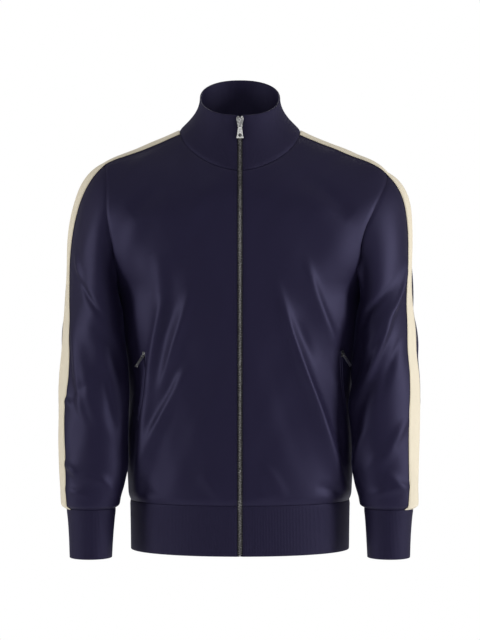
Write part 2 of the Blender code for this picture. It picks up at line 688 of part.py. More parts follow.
class Cloth:
    """The whole garment's outer surface. Grids that share an edge share its points."""

    def __init__(self):
        self.index = {}
        self.points = []
        self.lifts = []
        self.faces = {}

    def add(self, piece, grid, lift=None, flip=False):
        """Add a grid's cells to a piece, and return the index of each of its points."""
        lift = np.zeros(grid.shape[:2]) if lift is None else lift
        ids = np.empty(grid.shape[:2], dtype=int)
        for row in range(grid.shape[0]):
            for col in range(grid.shape[1]):
                ids[row, col] = self.point(grid[row, col], lift[row, col])
        self.add_cells(piece, ids, flip)
        return ids

    def point(self, place, lift):
        """The index of a point, which is shared with any other within the merging distance."""
        key = tuple(np.round(place / MERGE_DISTANCE).astype(int))
        for shift in itertools.product((0, -1, 1), repeat=3):
            found = self.index.get(tuple(k + move for k, move in zip(key, shift)))
            if found is not None:
                break
        else:
            found = self.index[key] = len(self.points)
            self.points.append(place)
            self.lifts.append([])
        self.lifts[found].append(lift)
        return found

    def add_cells(self, piece, ids, flip=False):
        a, b = ids[:-1, :-1].ravel(), ids[:-1, 1:].ravel()
        c, d = ids[1:, 1:].ravel(), ids[1:, :-1].ravel()
        first, second = np.stack([a, b, c], axis=-1), np.stack([a, c, d], axis=-1)
        cells = np.concatenate([first, second])
        self.faces.setdefault(piece, []).append(cells[:, ::-1] if flip else cells)

    def cells(self, piece):
        return np.concatenate(self.faces[piece])

    def normals(self, points):
        """Point normals. A seam between two parts of the body gets the mean of both."""
        total = np.zeros_like(points)
        for part in BODY_PARTS:
            share = np.zeros_like(points)
            for piece in part:
                cells = self.cells(piece)
                a, b, c = points[cells[:, 0]], points[cells[:, 1]], points[cells[:, 2]]
                across = np.cross(b - a, c - a)
                for corner in range(3):
                    np.add.at(share, cells[:, corner], across)
            total += unit(share)
        at_zip = (np.abs(points[:, 0]) < ZIP_EDGE_X + MERGE_DISTANCE) & (points[:, 1] < 0)
        total[at_zip, 0] = 0.0
        return unit(total)

    def settle(self):
        """Push the folds out, and work out the normals of the folded surface."""
        points = np.array(self.points)
        lifts = np.array([sum(values) / len(values) for values in self.lifts])
        self.surface = points + self.normals(points) * lifts[:, None]
        self.out = self.normals(self.surface)

    def wall(self, piece, outer, inner):
        """A closed wall on the piece's cells, drawn back from its seams: points and faces."""
        cells = self.cells(piece)
        used = np.unique(cells)
        local = np.full(len(self.surface), -1)
        local[used] = np.arange(len(used))
        cells = local[cells]
        points, normals = self.surface[used], self.out[used]
        edges = boundary(cells)
        points = points + draw_back(points, normals, edges)
        count = len(used)
        rim = []
        for a, b in edges:
            rim += [(a, b + count, b), (a, a + count, b + count)]
        faces = np.concatenate([cells, cells[:, ::-1] + count, np.array(rim)])
        return np.concatenate([points + normals * outer, points + normals * inner]), faces


def boundary(cells):
    """Directed edges that only one triangle has."""
    pairs = set()
    for a, b, c in cells.tolist():
        pairs.update(((a, b), (b, c), (c, a)))
    return [pair for pair in sorted(pairs) if (pair[1], pair[0]) not in pairs]


def draw_back(points, normals, edges):
    """Move each edge point half a seam gap into its piece, square to both its edges."""
    first, second = {}, {}
    for a, b in edges:
        along = points[b] - points[a]
        first[a] = unit(np.cross(normals[a], along))
        second[b] = unit(np.cross(normals[b], along))
    moves = np.zeros_like(points)
    for i in first:
        inward = first[i] + second[i]
        moves[i] = inward / max(1 + float(first[i] @ second[i]), 0.35) * SEAM_HALF_GAP
    return moves


def build_cloth():
    """Lay out every grid of the garment."""
    cloth = Cloth()
    fronts, backs, bottoms, necks = {}, {}, {}, {}
    for side in SIDES:
        mirrored = side == "right"
        front = torso_grid(side, "front")
        back = torso_grid(side, "back")
        fronts[side] = cloth.add("front_" + side, front, torso_folds("front", front), not mirrored)
        backs[side] = cloth.add("back", back, torso_folds("back", back), mirrored)
        bottoms[side] = (front[-1], back[-1])
        front_neck = STRIPE_CELLS + NECK_CELLS["front"]
        back_neck = STRIPE_CELLS + NECK_CELLS["back"]
        necks[side] = (front[:front_neck + 1, 0], back[:back_neck + 1, 0])
        sleeve, cuff = sleeve_grids(side)
        lift = sleeve_folds(side, sleeve)
        sleeves = cloth.add("sleeve_" + side, sleeve, lift, mirrored)
        cloth.add("cuff_" + side, cuff, None, mirrored)
        stripe = "stripe_" + side
        cloth.add_cells(stripe, fronts[side][:STRIPE_CELLS + 1], not mirrored)
        cloth.add_cells(stripe, backs[side][:STRIPE_CELLS + 1], mirrored)
        cloth.add_cells(stripe, sleeves[:, :STRIPE_CELLS + 1], mirrored)
        cloth.add_cells(stripe, sleeves[:, -STRIPE_CELLS - 1:], mirrored)
    ring = np.concatenate([
        bottoms["right"][0], bottoms["right"][1][-2::-1],
        bottoms["left"][1][1:], bottoms["left"][0][-2::-1]])
    hem = cloth.add("hem_band", hem_grid(ring))
    base = np.concatenate([
        necks["right"][0][::-1], necks["right"][1][1:],
        necks["left"][1][-2::-1], necks["left"][0][1:]])
    collar = cloth.add("collar", collar_grid(base), None, True)
    cloth.settle()
    return cloth, fronts, hem, collar


def set_material(obj, name):
    colour, roughness, metallic = COLOURS[name]
    material = bpy.data.materials.get(name) or bpy.data.materials.new(name)
    material.use_nodes = True
    shader = material.node_tree.nodes["Principled BSDF"]
    shader.inputs["Base Color"].default_value = (*colour, 1.0)
    shader.inputs["Roughness"].default_value = roughness
    shader.inputs["Metallic"].default_value = metallic
    obj.data.materials.clear()
    obj.data.materials.append(material)


def mesh_object(name, points, faces, material):
    """An object from points in millimetres."""
    mesh = bpy.data.meshes.new(name)
    mesh.from_pydata((np.asarray(points) * MM).tolist(), [], np.asarray(faces).tolist())
    mesh.update()
    obj = bpy.data.objects.new(name, mesh)
    bpy.context.scene.collection.objects.link(obj)
    set_material(obj, material)
    return obj


def build_panels(cloth):
    for piece in cloth.faces:
        if piece.startswith("stripe"):
            kind, material = "stripe", "cream"
        elif piece in ("collar", "hem_band") or piece.startswith("cuff"):
            kind, material = "rib", "navy_rib"
        else:
            kind, material = "body", "navy"
        mesh_object(piece, *cloth.wall(piece, *WALLS[kind]), material)


# ---- zips ------------------------------------------------------------------------------


def zip_line(cloth, fronts, hem, collar, side):
    """Points down one edge of the main zip and one column away from it, from the top, and the
    edge's normals."""
    hem_edge, hem_next = (0, 1) if side == "right" else (-1, -2)
    collar_rows = collar[::-1]
    front_rows = fronts[side][STRIPE_CELLS + NECK_CELLS["front"]:]
    edge = np.concatenate([collar_rows[:, hem_edge], front_rows[1:, 0], hem[1:, hem_edge]])
    inner = np.concatenate([collar_rows[:, hem_next], front_rows[1:, 1], hem[1:, hem_next]])
    inner[COLLAR_CELLS] = collar[0, hem_next]
    return cloth.surface[edge], cloth.surface[inner], cloth.out[edge]


def cut_at(height, *lines):
    """Keep what is below a height, and end each line there."""
    z = lines[0][:, 2]
    first = int(np.argmax(z < height))
    t = (height - z[first]) / (z[first - 1] - z[first])
    return [np.concatenate([[line[first] + (line[first - 1] - line[first]) * t], line[first:]])
            for line in lines]


def band(name, grid, normals, high, low, material):
    """A closed strip: grid is rows of points across it, with one normal for each row."""
    rows, cols = grid.shape[:2]
    lifted = [(grid + normals[:, None] * level).reshape(-1, 3) for level in (high, low)]
    ids = np.arange(rows * cols).reshape(rows, cols)
    a, b = ids[:-1, :-1].ravel(), ids[:-1, 1:].ravel()
    c, d = ids[1:, 1:].ravel(), ids[1:, :-1].ravel()
    cells = np.concatenate([np.stack([a, b, c], axis=-1), np.stack([a, c, d], axis=-1)])
    count = rows * cols
    rim = []
    for i, j in boundary(cells):
        rim += [(i, j + count, j), (i, i + count, j + count)]
    faces = np.concatenate([cells, cells[:, ::-1] + count, np.array(rim)])
    obj = mesh_object(name, np.concatenate(lifted), faces, material)
    work = bmesh.new()
    work.from_mesh(obj.data)
    face_out(work)
    work.to_mesh(obj.data)
    work.free()


def face_out(work):
    """Turn a closed mesh's faces outward."""
    bmesh.ops.recalc_face_normals(work, faces=work.faces)
    if work.calc_volume(signed=True) < 0:
        bmesh.ops.reverse_faces(work, faces=work.faces)


def build_main_zip(cloth, fronts, hem, collar):
    """Two tapes behind the panels' edges, and the closed chain in front of them."""
    edges = {}
    top = SLIDER_Z + ZIP_TOP_ABOVE_SLIDER
    for side, sign in SIDES.items():
        edge, inner, out = zip_line(cloth, fronts, hem, collar, side)
        edge, inner, out = cut_at(top, edge, inner, out)
        out = unit(out * (0, 1, 1))
        edges[side] = (edge, out)
        reach = (inner - edge) / (np.abs(inner[:, :1]) - ZIP_EDGE_X)
        near = edge * (0, 1, 1) + np.array([sign * TAPE_INNER_X, 0, 0])
        far = edge + reach * (TAPE_OUTER_X - ZIP_EDGE_X)
        band("zip_tape_" + side, np.stack([near, edge, far], axis=1), out,
             TAPE_FRONT, TAPE_BACK, "navy_tape")
    middle = (edges["left"][0] + edges["right"][0]) / 2 * (0, 1, 1)
    across = np.array([CHAIN_HALF_WIDTH, 0, 0])
    normals = unit(edges["left"][1] + edges["right"][1])
    band("zip_chain", np.stack([middle - across, middle + across], axis=1), normals,
         CHAIN_FRONT, CHAIN_BACK, "chain_metal")


def plate(outline, low, high, across=False):
    """A flat plate from an outline in x and s, between two levels of n. Where it runs across,
    the outline is in s and n, and the levels are of x."""
    work = bmesh.new()
    places = [(low, a, b) if across else (a, b, low) for a, b in outline]
    face = work.faces.new([work.verts.new(Vector(place) * MM) for place in places])
    grown = bmesh.ops.extrude_face_region(work, geom=[face])
    moved = [item for item in grown["geom"] if isinstance(item, bmesh.types.BMVert)]
    thick = (high - low) * MM
    bmesh.ops.translate(work, verts=moved, vec=(thick, 0, 0) if across else (0, 0, thick))
    triangulate(work)
    face_out(work)
    return finish_mesh(work, "plate")


def triangulate(work):
    bmesh.ops.triangulate(work, faces=work.faces, ngon_method="EAR_CLIP")


def finish_mesh(work, name):
    mesh = bpy.data.meshes.new(name)
    work.to_mesh(mesh)
    work.free()
    obj = bpy.data.objects.new(name, mesh)
    bpy.context.scene.collection.objects.link(obj)
    return obj


def block(x, s, n):
    """A box from low and high along each axis."""
    return plate([(x[0], s[0]), (x[1], s[0]), (x[1], s[1]), (x[0], s[1])], *n)


def rod(axis, centre, radius, low, high, sides):
    """A cylinder along x or n, from low to high."""
    work = bmesh.new()
    bmesh.ops.create_cone(work, cap_ends=True, segments=sides, radius1=radius * MM,
                          radius2=radius * MM, depth=(high - low) * MM)
    if axis == "x":
        bmesh.ops.rotate(work, verts=work.verts, cent=(0, 0, 0),
                         matrix=Matrix.Rotation(math.pi / 2, 3, "Y"))
        shift = ((low + high) / 2, centre[0], centre[1])
    else:
        shift = (centre[0], centre[1], (low + high) / 2)
    bmesh.ops.translate(work, verts=work.verts, vec=Vector(shift) * MM)
    return finish_mesh(work, "rod")


def combine(name, base, joined=(), cut=()):
    """Join and cut with exact Booleans, and keep the result under one name."""
    for helpers, operation in ((joined, "UNION"), (cut, "DIFFERENCE")):
        for helper in helpers:
            change = base.modifiers.new("change", "BOOLEAN")
            change.operation = operation
            change.solver = "EXACT"
            change.object = helper
    bpy.context.view_layer.update()
    evaluated = base.evaluated_get(bpy.context.evaluated_depsgraph_get())
    mesh = bpy.data.meshes.new_from_object(evaluated)
    work = bmesh.new()
    work.from_mesh(mesh)
    triangulate(work)
    work.to_mesh(mesh)
    work.free()
    for helper in (base, *joined, *cut):
        bpy.data.objects.remove(helper, do_unlink=True)
    obj = bpy.data.objects.new(name, mesh)
    bpy.context.scene.collection.objects.link(obj)
    set_material(obj, "silver")
    return obj


def slider_outline(size):
    """Two rounded lobes at the top, narrowing to the foot."""
    half, foot, top = size["top_width"] / 2, size["bottom_width"] / 2, size["length"] / 2
    notch = size["notch"]
    right = [(foot, -top), (foot + 0.3, -top * 0.2), (half, top * 0.35), (half * 0.96, top * 0.72),
             (half * 0.62, top), (half * 0.34, top * 0.95), (0.0, top - notch)]
    return right + [(-x, s) for x, s in reversed(right[:-1])]


def build_slider(name, size, frame):
    """Plates, post and bail, as one solid."""
    hinge_s, hinge_n = size["hinge_s"], size["hinge_n"]
    base = plate(slider_outline(size), size["plate_low"], size["plate_high"])
    outer = BAIL_REACH + BAIL_THICKNESS
    underside = hinge_n + BAR_RADIUS + BAIL_CLEARANCE
    crown = underside + BAIL_THICKNESS
    foot = size["plate_high"] - 0.4
    half_arch = [(BAIL_REACH, underside), (BAIL_REACH, foot), (outer, foot),
                 (outer, underside), (BAIL_REACH, crown)]
    arch = half_arch + [(-s, n) for s, n in reversed(half_arch)]
    joined = [plate([(hinge_s + s, n) for s, n in arch], -BAIL_HALF_WIDTH, BAIL_HALF_WIDTH, True)]
    if size["back_low"] is not None:
        top = size["length"] / 2
        joined.append(plate(slider_outline(size), size["back_low"], size["back_high"]))
        joined.append(block((-1.2, 1.2), (top - size["notch"] - 2.6, top - size["notch"] - 0.2),
                            (size["back_high"] - 0.5, size["plate_low"] + 0.5)))
    obj = combine(name, base, joined)
    obj.matrix_world = frame
    return obj


def pull_outline(size):
    """Two rails and the tab below them, flared at its foot, measured from the hinge."""
    top, foot, end = size["pull_top"] / 2, size["pull_bottom"] / 2, -size["pull_length"]
    shoulder = -EYE_LENGTH - 1.0
    right = [(EYE_HALF_WIDTH, -EYE_LENGTH), (EYE_HALF_WIDTH, 0.0), (RAIL_HALF_WIDTH, 0.0),
             (RAIL_HALF_WIDTH, -EYE_LENGTH), (top, shoulder), (foot * 0.82, end + 3.6),
             (foot, end + 1.0), (foot * 0.9, end + 0.2), (foot * 0.5, end)]
    return right + [(-x, s) for x, s in reversed(right)]


def build_pull(name, size, frame):
    """The tab hangs from a bar through the bail, with its foot out from the cloth by its tilt."""
    half = PULL_THICKNESS / 2
    tab = plate(pull_outline(size), -half, half)
    bar_end = RAIL_HALF_WIDTH - 0.5
    bar = rod("x", (0.0, 0.0), BAR_RADIUS, -bar_end, bar_end, 12)
    hole = rod("n", (0.0, size["hole_from_end"] - size["pull_length"]), size["hole"], -2.0, 2.0, 16)
    obj = combine(name, tab, (bar,), (hole,))
    hinge = Matrix.Translation(Vector((0, size["hinge_s"], size["hinge_n"])) * MM)
    obj.matrix_world = frame @ hinge @ Matrix.Rotation(-math.radians(size["tilt"]), 4, "X")
    return obj


def frame_matrix(origin, up, out):
    """Axes x, s (up the zip) and n (out of the cloth), at an origin in millimetres."""
    out = unit(out - up * (out @ up))
    across = np.cross(up, out)
    frame = Matrix.Identity(4)
    for i in range(3):
        frame[i][0], frame[i][1], frame[i][2], frame[i][3] = across[i], up[i], out[i], origin[i] * MM
    return frame


def collar_frame(cloth, collar):
    """Where the main slider sits, on the centre line near the collar's rim."""
    line = (cloth.surface[collar[:, 0]] + cloth.surface[collar[:, -1]]) / 2
    row = int(np.searchsorted(line[:, 2], SLIDER_Z))
    up = unit((line[row] - line[row - 1]) * (0, 1, 1))
    t = (SLIDER_Z - line[row - 1, 2]) / (line[row, 2] - line[row - 1, 2])
    origin = (line[row - 1] + (line[row] - line[row - 1]) * t) * (0, 1, 1)
    out = np.array([0.0, -up[2], up[1]])
    return frame_matrix(origin, up, out)


def surface_under(cloth, piece, x, z):
    """The outer surface of a front panel at x, z, and its normal there."""
    cells = cloth.cells(piece)
    a, b, c = (cloth.surface[cells[:, i]] for i in range(3))
    ab, ac = (b - a)[:, [0, 2]], (c - a)[:, [0, 2]]
    to = np.array([x, z]) - a[:, [0, 2]]
    area = ab[:, 0] * ac[:, 1] - ab[:, 1] * ac[:, 0]
    area = np.where(np.abs(area) < 1e-9, 1e-9, area)
    u = (to[:, 0] * ac[:, 1] - to[:, 1] * ac[:, 0]) / area
    v = (ab[:, 0] * to[:, 1] - ab[:, 1] * to[:, 0]) / area
    miss = np.maximum(np.maximum(-u, -v), u + v - 1)
    i = int(np.argmin(miss))
    place = a[i] + (b[i] - a[i]) * u[i] + (c[i] - a[i]) * v[i]
    weights = np.array([1 - u[i] - v[i], u[i], v[i]])
    return place, unit(weights @ cloth.out[cells[i]])


def pocket_line(cloth, side):
    """Points and normals down the slanted pocket, on the front panel."""
    sign = SIDES[side]
    ends = [torso_place("front", *map(float, POCKETS[side][end])) for end in ("top", "bottom")]
    points, normals = [], []
    for t in np.linspace(0, 1, POCKET_STEPS + 1):
        p, a = ends[0] + (ends[1] - ends[0]) * t
        x, _, z = torso_point("front", p, a)
        place, normal = surface_under(cloth, "front_" + side, sign * x, z)
        points.append(place)
        normals.append(normal)
    return np.array(points), np.array(normals)


def build_pocket(cloth, side):
    """Two lips as one strip, with the slider and pull at the top."""
    points, normals = pocket_line(cloth, side)
    along = np.gradient(points, axis=0)
    across = unit(np.cross(normals, along))
    normals = unit(np.cross(along, across))
    high, low = POCKET_OFFSET
    edges = [points - across * POCKET_HALF_WIDTH, points + across * POCKET_HALF_WIDTH]
    band("pocket_lips_" + side, np.stack(edges, axis=1), normals, high, low, "navy")
    up = unit(points[0] - points[2])
    out = unit(normals[0] + normals[1] + normals[2])
    lift = high + POCKET_SLIDER_CLEARANCE
    origin = points[0] + out * lift - up * POCKET_ZIP["length"] * POCKET_SLIDER_DROP
    frame = frame_matrix(origin, up, out)
    build_slider("pocket_slider_" + side, POCKET_ZIP, frame)
    build_pull("pocket_pull_" + side, POCKET_ZIP, frame)


def main():
    for obj in list(bpy.data.objects):
        bpy.data.objects.remove(obj, do_unlink=True)
    cloth, fronts, hem, collar = build_cloth()
    build_panels(cloth)
    build_main_zip(cloth, fronts, hem, collar)
    frame = collar_frame(cloth, collar)
    build_slider("zip_slider", MAIN_ZIP, frame)
    build_pull("zip_pull", MAIN_ZIP, frame)
    for side in SIDES:
        build_pocket(cloth, side)


main()
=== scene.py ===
"""Looks of the track sweatshirt: fine cloth with creases, knit, ribs, stitching and zip teeth,
in a soft white studio.

The cloth is worked out as the frame was: one surface from sections of the torso, sleeves and
collar, cut along its seams. Its folds are higher than the frame's, and its sleeves lie a little
closer to the body. Tables are in millimetres and meshes in metres. +X is the wearer's left, -Y
the front and +Z up.
"""
import itertools
import math

import bpy
import numpy as np
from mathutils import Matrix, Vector
from mathutils.kdtree import KDTree


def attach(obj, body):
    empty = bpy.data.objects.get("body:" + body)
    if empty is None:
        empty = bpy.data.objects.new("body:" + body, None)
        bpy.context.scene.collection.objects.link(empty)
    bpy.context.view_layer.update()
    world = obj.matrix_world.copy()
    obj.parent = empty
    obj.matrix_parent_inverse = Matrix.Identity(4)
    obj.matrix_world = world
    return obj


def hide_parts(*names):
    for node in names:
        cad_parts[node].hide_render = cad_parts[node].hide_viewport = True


MM = 0.001
SIDES = {"left": 1, "right": -1}


def table(columns, rows):
    """Name the columns of a table of numbers."""
    data = np.array(rows, dtype=float)
    return {name: data[:, i] for i, name in enumerate(columns.split())}


# Torso by height: half the width, and how far the front and back stand from the side seams.
TORSO = table("z half_width front back", [
    (60, 262, 99, 86),
    (0, 262, 99, 91),
    (-70, 262, 103, 105),
    (-110, 262, 111, 111),
    (-130, 261, 115, 113),
    (-160, 253, 120, 114),
    (-190, 238, 124, 113),
    (-220, 218, 127, 111),
    (-240, 203.5, 128, 109),
    (-250, 198, 128, 108),
    (-264, 193.5, 128, 107),
    (-290, 190.3, 128, 104),
    (-315, 188.2, 127, 102),
    (-353, 183.3, 125, 99),
    (-391, 179, 123, 97),
    (-418, 177.5, 122, 97),
    (-449, 178.5, 121, 98),
    (-482, 180.5, 121, 100),
    (-525, 180.5, 120, 104),
    (-560, 179, 120, 107),
    (-578, 178, 120, 109),
    (-589, 175, 118, 108),
    (-600, 174.5, 117, 108),
    (-667, 173.5, 115, 107),
])
CORNER = {"front": 2.1, "back": 2.6}  # superellipse exponent of the torso's sections

# Shoulder line seen from the front, then how soon the front and back drop away below it,
# and how sharply each leaves it (1 is a crease and 2 is round).
RIDGE = table("x z front_drop back_drop front_round back_round", [
    (0, 40, 150, 130, 1.25, 1.60),
    (96, 0, 150, 125, 1.25, 1.55),
    (115, -8, 147, 124, 1.28, 1.58),
    (160, -27, 130, 118, 1.40, 1.68),
    (185, -37, 118, 112, 1.52, 1.75),
    (207, -46.5, 106, 103, 1.65, 1.80),
    (223, -56, 96, 94, 1.78, 1.88),
    (234, -66, 90, 88, 1.88, 1.92),
    (242, -75, 85, 84, 1.95, 1.96),
    (262, -110, 78, 78, 2.00, 2.00),
])
RIDGE_WIDTH = 262  # the torso's half-width along the shoulder line

NECK_HALF_WIDTH = 96
NECK_FRONT_Z = -70.5
NECK_BACK_Z = -6
NECK_CURVE = {"front": 1.7, "back": 2.4}
HEM_SEAM_Z = -589
HEM_Z = -667
UNDERARM_Z = -250
CHEST_Z = -290  # where the row of cells from the underarm meets the centre front and back
ZIP_EDGE_X = 3.8  # the cloth stops this far each side of the centre front

# Armhole seams seen from the front, from the shoulder line to the underarm.
ARMHOLES = {
    ("left", "front"): table("x z", [
        (235, -67), (233, -82), (221, -108), (207, -136), (195, -162), (189, -188),
        (186.5, -214), (187.5, -236), (191.5, -246.5), (198, -250)]),
    ("left", "back"): table("x z", [
        (235, -67), (233, -84), (225, -112), (215, -145), (206, -178), (200, -208),
        (196, -232), (195, -245.5), (198, -250)]),
    ("right", "front"): table("x z", [
        (217, -52.5), (213.5, -66), (211, -92), (209.5, -124), (205, -160), (199.5, -192),
        (194.5, -220), (192.5, -238), (194.5, -247.5), (198, -250)]),
    ("right", "back"): table("x z", [
        (217, -52.5), (214.5, -68), (213, -98), (211, -132), (206, -168), (201, -202),
        (197, -230), (195.5, -245.5), (198, -250)]),
}

# Sleeves from below the underarm to the end of the cuff: how far out the outer and inner edges
# are, where the middle lies from front to back, half the depth, how far the front leans inward,
# and how far the stripe's front edge is in from the outer edge.
SLEEVE_COLUMNS = "z outer inner y half_depth lean stripe_in"
SLEEVES = {
    "left": table(SLEEVE_COLUMNS, [
        (-290, 279.0, 185.0, -12, 71, 0.26, 16.5),
        (-315, 281.0, 182.6, -16, 69, 0.26, 18.0),
        (-353, 283.5, 181.2, -22, 65, 0.26, 20.0),
        (-391, 286.0, 175.3, -27, 60, 0.24, 21.0),
        (-418, 286.5, 175.4, -31, 58, 0.22, 21.5),
        (-449, 285.5, 176.5, -35, 56, 0.20, 22.0),
        (-482, 284.0, 177.4, -39, 54, 0.16, 21.0),
        (-525, 281.6, 176.0, -44, 51, 0.10, 19.5),
        (-560, 280.5, 181.0, -48, 49, 0.05, 18.0),
        (-580, 280.0, 186.0, -51, 46, 0.00, 18.0),
        (-592, 279.0, 188.5, -52, 43, 0.00, 18.0),
        (-598, 272.2, 195.0, -53, 38, 0.00, 17.0),
        (-612, 269.8, 197.0, -54, 37, 0.00, 16.0),
        (-645, 267.0, 199.0, -58, 36, 0.00, 15.0),
        (-674, 265.6, 200.2, -62, 35, 0.00, 15.0)]),
    "right": table(SLEEVE_COLUMNS, [
        (-290, 281.5, 185.6, -12, 71, 0.26, 12.5),
        (-315, 283.4, 183.2, -16, 69, 0.26, 15.5),
        (-353, 285.0, 180.9, -22, 65, 0.26, 18.0),
        (-391, 286.8, 176.8, -27, 60, 0.24, 17.5),
        (-418, 287.5, 175.3, -31, 58, 0.22, 15.0),
        (-449, 287.3, 175.6, -35, 56, 0.20, 13.0),
        (-482, 286.0, 176.0, -39, 54, 0.16, 12.7),
        (-525, 284.0, 175.4, -44, 51, 0.10, 12.0),
        (-560, 282.3, 181.3, -48, 49, 0.05, 11.0),
        (-580, 281.0, 187.0, -51, 46, 0.00, 10.5),
        (-592, 279.5, 189.5, -52, 43, 0.00, 10.0),
        (-598, 272.4, 195.2, -53, 38, 0.00, 9.5),
        (-612, 270.0, 197.2, -54, 37, 0.00, 9.5),
        (-645, 267.4, 199.8, -58, 36, 0.00, 9.5),
        (-674, 266.0, 201.2, -62, 35, 0.00, 9.5)]),
}
SLEEVE_TOP_Z = -290
CUFF_SEAM_Z = -598
CUFF_Z = -674
SLEEVE_TUCK_Z = -578    # where the sleeve starts to draw in to the cuff
STRIPE_WIDTH = 36
STRIPE_SEARCH = 1.2     # radians back from its front edge in which its back edge is looked for
STRIPE_SEARCH_STEPS = 60
BELOW_TOP = 20          # the sleeve's slant is taken over this much height below its top
HEAD_OUT = 0.32         # how far a sleeve head leaves the armhole sideways at the underarm
HEAD_OUT_MORE = 0.91    # and how much further at the shoulder
HEAD_UP = 0.30          # its rise there
HEAD_START = 0.9        # strength of the sleeve head's curve at the armhole
HEAD_END = 1.0          # and at the first ring, at the underarm
HEAD_END_MORE = 0.3     # and how much stronger there at the shoulder

COLLAR_RIM = {"half_width": 63.4, "front_y": -75, "back_y": 65, "middle_y": -5,
              "front_z": 17.5, "back_z": 89.5, "curve": 2.25,
              "draw": 1.5, "side_draw": 0.9, "side_late": 0.2}

# Largest folds: a soft ridge (height above 0) or trough from one end to the other. On the torso
# the ends are x and z. On a sleeve they are the distance round it from its outermost line
# (forward is above 0) and z. Bow bends the middle sideways, and width is half its breadth.
FOLD_COLUMNS = "start_at start_z end_at end_z bow width height"
# Finer creases, on the same terms. They share the large folds' lines and split them unevenly.
CREASES = {
    "front": table(FOLD_COLUMNS, [
        (57, -246, 124, -452, -3, 7, 4.0),
        (92, -365, 168, -590, 3, 8, 5.2),
        (103, -210, 150, -344, -3, 7, 2.9),
        (158, -399, 166, -528, 2, 7, 3.2),
        (107, -83, 172, -141, 3, 14, -4.0),
        (30, -520, 70, -582, 4, 9, 2.2),
        (26, -575, 58, -577, 0, 7, 1.9),
        (120, -560, 162, -580, 2, 8, -2.4),
        (82, -300, 112, -372, 2, 8, -2.2),
        (-128, -195, -122, -318, 4, 12, 3.5),
        (-118, -272, -141, -415, -3, 7, 3.5),
        (-139, -400, -164, -588, 0, 8, 4.4),
        (-77, -261, -123, -415, 0, 7, 3.2),
        (-84, -380, -154, -542, -5, 8, 4.0),
        (-103, -279, -123, -338, 0, 7, -2.6),
        (-97, -375, -141, -471, 4, 8, -2.9),
        (-154, -568, -118, -590, 0, 8, -2.6),
        (-60, -540, -30, -584, 3, 9, 1.9),
        (-112, -95, -168, -140, -3, 14, -3.2),
    ]),
    "back": table(FOLD_COLUMNS, [
        (160, -200, 96, -300, 5, 9, 3.8),
        (130, -240, 60, -360, 6, 9, 3.2),
        (-158, -205, -100, -300, -5, 9, 3.5),
        (-128, -245, -58, -350, -6, 9, 3.2),
        (90, -395, 50, -560, 5, 9, 3.5),
        (-80, -400, -38, -560, -5, 9, 3.5),
        (130, -470, 120, -575, 3, 10, 2.9),
        (-135, -480, -125, -575, -3, 10, 2.9),
        (-40, -60, 45, -66, 8, 14, -2.6),
        (20, -330, 5, -520, 4, 12, 2.6),
    ]),
    "sleeve_left": table(FOLD_COLUMNS, [
        (30, -205, 62, -300, -4, 6, 5.2),
        (62, -300, 96, -395, -3, 6, 5.6),
        (70, -250, 116, -330, 5, 9, -4.2),
        (35, -330, 70, -420, 4, 8, -2.9),
        (20, -455, 60, -520, 3, 9, 3.5),
        (60, -540, 20, -570, 0, 8, 3.2),
        (90, -470, 120, -540, 3, 8, 3.2),
        (-30, -210, -90, -330, 6, 9, 3.5),
        (-100, -380, -40, -440, 5, 9, 3.8),
        (-60, -520, -110, -560, 0, 9, 2.9),
        (10, -560, 110, -582, 3, 7, 2.6),
        (148, -335, 124, -500, 0, 15, 7.0),
    ]),
    "sleeve_right": table(FOLD_COLUMNS, [
        (46, -195, 70, -260, 4, 8, 3.2),
        (52, -225, 92, -300, 5, 7, -3.2),
        (28, -330, 62, -465, -4, 7, 3.8),
        (10, -425, 34, -440, 2, 6, 3.2),
        (14, -525, 44, -543, 2, 6, 3.2),
        (16, -566, 60, -572, 0, 6, 2.6),
        (80, -380, 110, -480, 4, 8, -3.2),
        (-30, -210, -90, -330, 6, 9, 3.5),
        (-100, -380, -40, -440, 5, 9, 3.8),
        (-60, -520, -110, -560, 0, 9, 2.9),
        (70, -540, 110, -580, 2, 8, 2.6),
        (140, -330, 124, -500, 0, 15, 4.0),
    ]),
}
FOLDS = {
    "front": table(FOLD_COLUMNS, [
        (57, -250, 170, -595, -3, 15, 7.0),
        (102, -235, 152, -345, -4, 13, 3.5),
        (38, -330, 112, -560, -4, 20, -2.5),
        (118, -330, 160, -470, 6, 16, -3.5),
        (-120, -262, -161, -568, -2, 15, 5.5),
        (-74, -255, -126, -420, 0, 13, 4.6),
        (-84, -380, -152, -545, -4, 14, 5.2),
        (-100, -285, -132, -400, -4, 12, -3.5),
        (-98, -395, -142, -520, 4, 12, -3.0),
    ]),
    "back": table(FOLD_COLUMNS, [
        (150, -190, 60, -330, 12, 20, 4.5),
        (-150, -200, -70, -350, -12, 20, 4.0),
        (100, -360, 40, -560, 10, 18, 4.0),
        (-90, -370, -30, -555, -8, 18, 4.0),
        (0, -300, 10, -540, 8, 22, -3.0),
    ]),
    "sleeve_left": table(FOLD_COLUMNS, [
        (35, -215, 120, -390, -8, 12, 6.0),
        (95, -345, 150, -420, 0, 20, -9.0),
        (60, -360, 120, -480, 6, 13, -4.0),
        (-40, -300, -120, -420, 8, 15, 5.0),
        (-50, -420, -125, -400, 0, 13, -4.0),
        (40, -500, 100, -540, 0, 13, 3.0),
    ]),
    "sleeve_right": table(FOLD_COLUMNS, [
        (30, -315, 95, -480, -6, 13, 5.0),
        (70, -300, 130, -400, 0, 15, -4.0),
        (15, -430, 70, -400, 0, 10, -3.0),
        (-40, -300, -120, -420, 8, 15, 5.0),
        (-50, -420, -125, -400, 0, 13, -4.0),
        (20, -530, 90, -555, 0, 12, 3.0),
    ]),
}

FOLD_END_LEVEL = 0.15   # the share of a fold's height that is left at its two ends
FOLD_END_POWER = 0.8
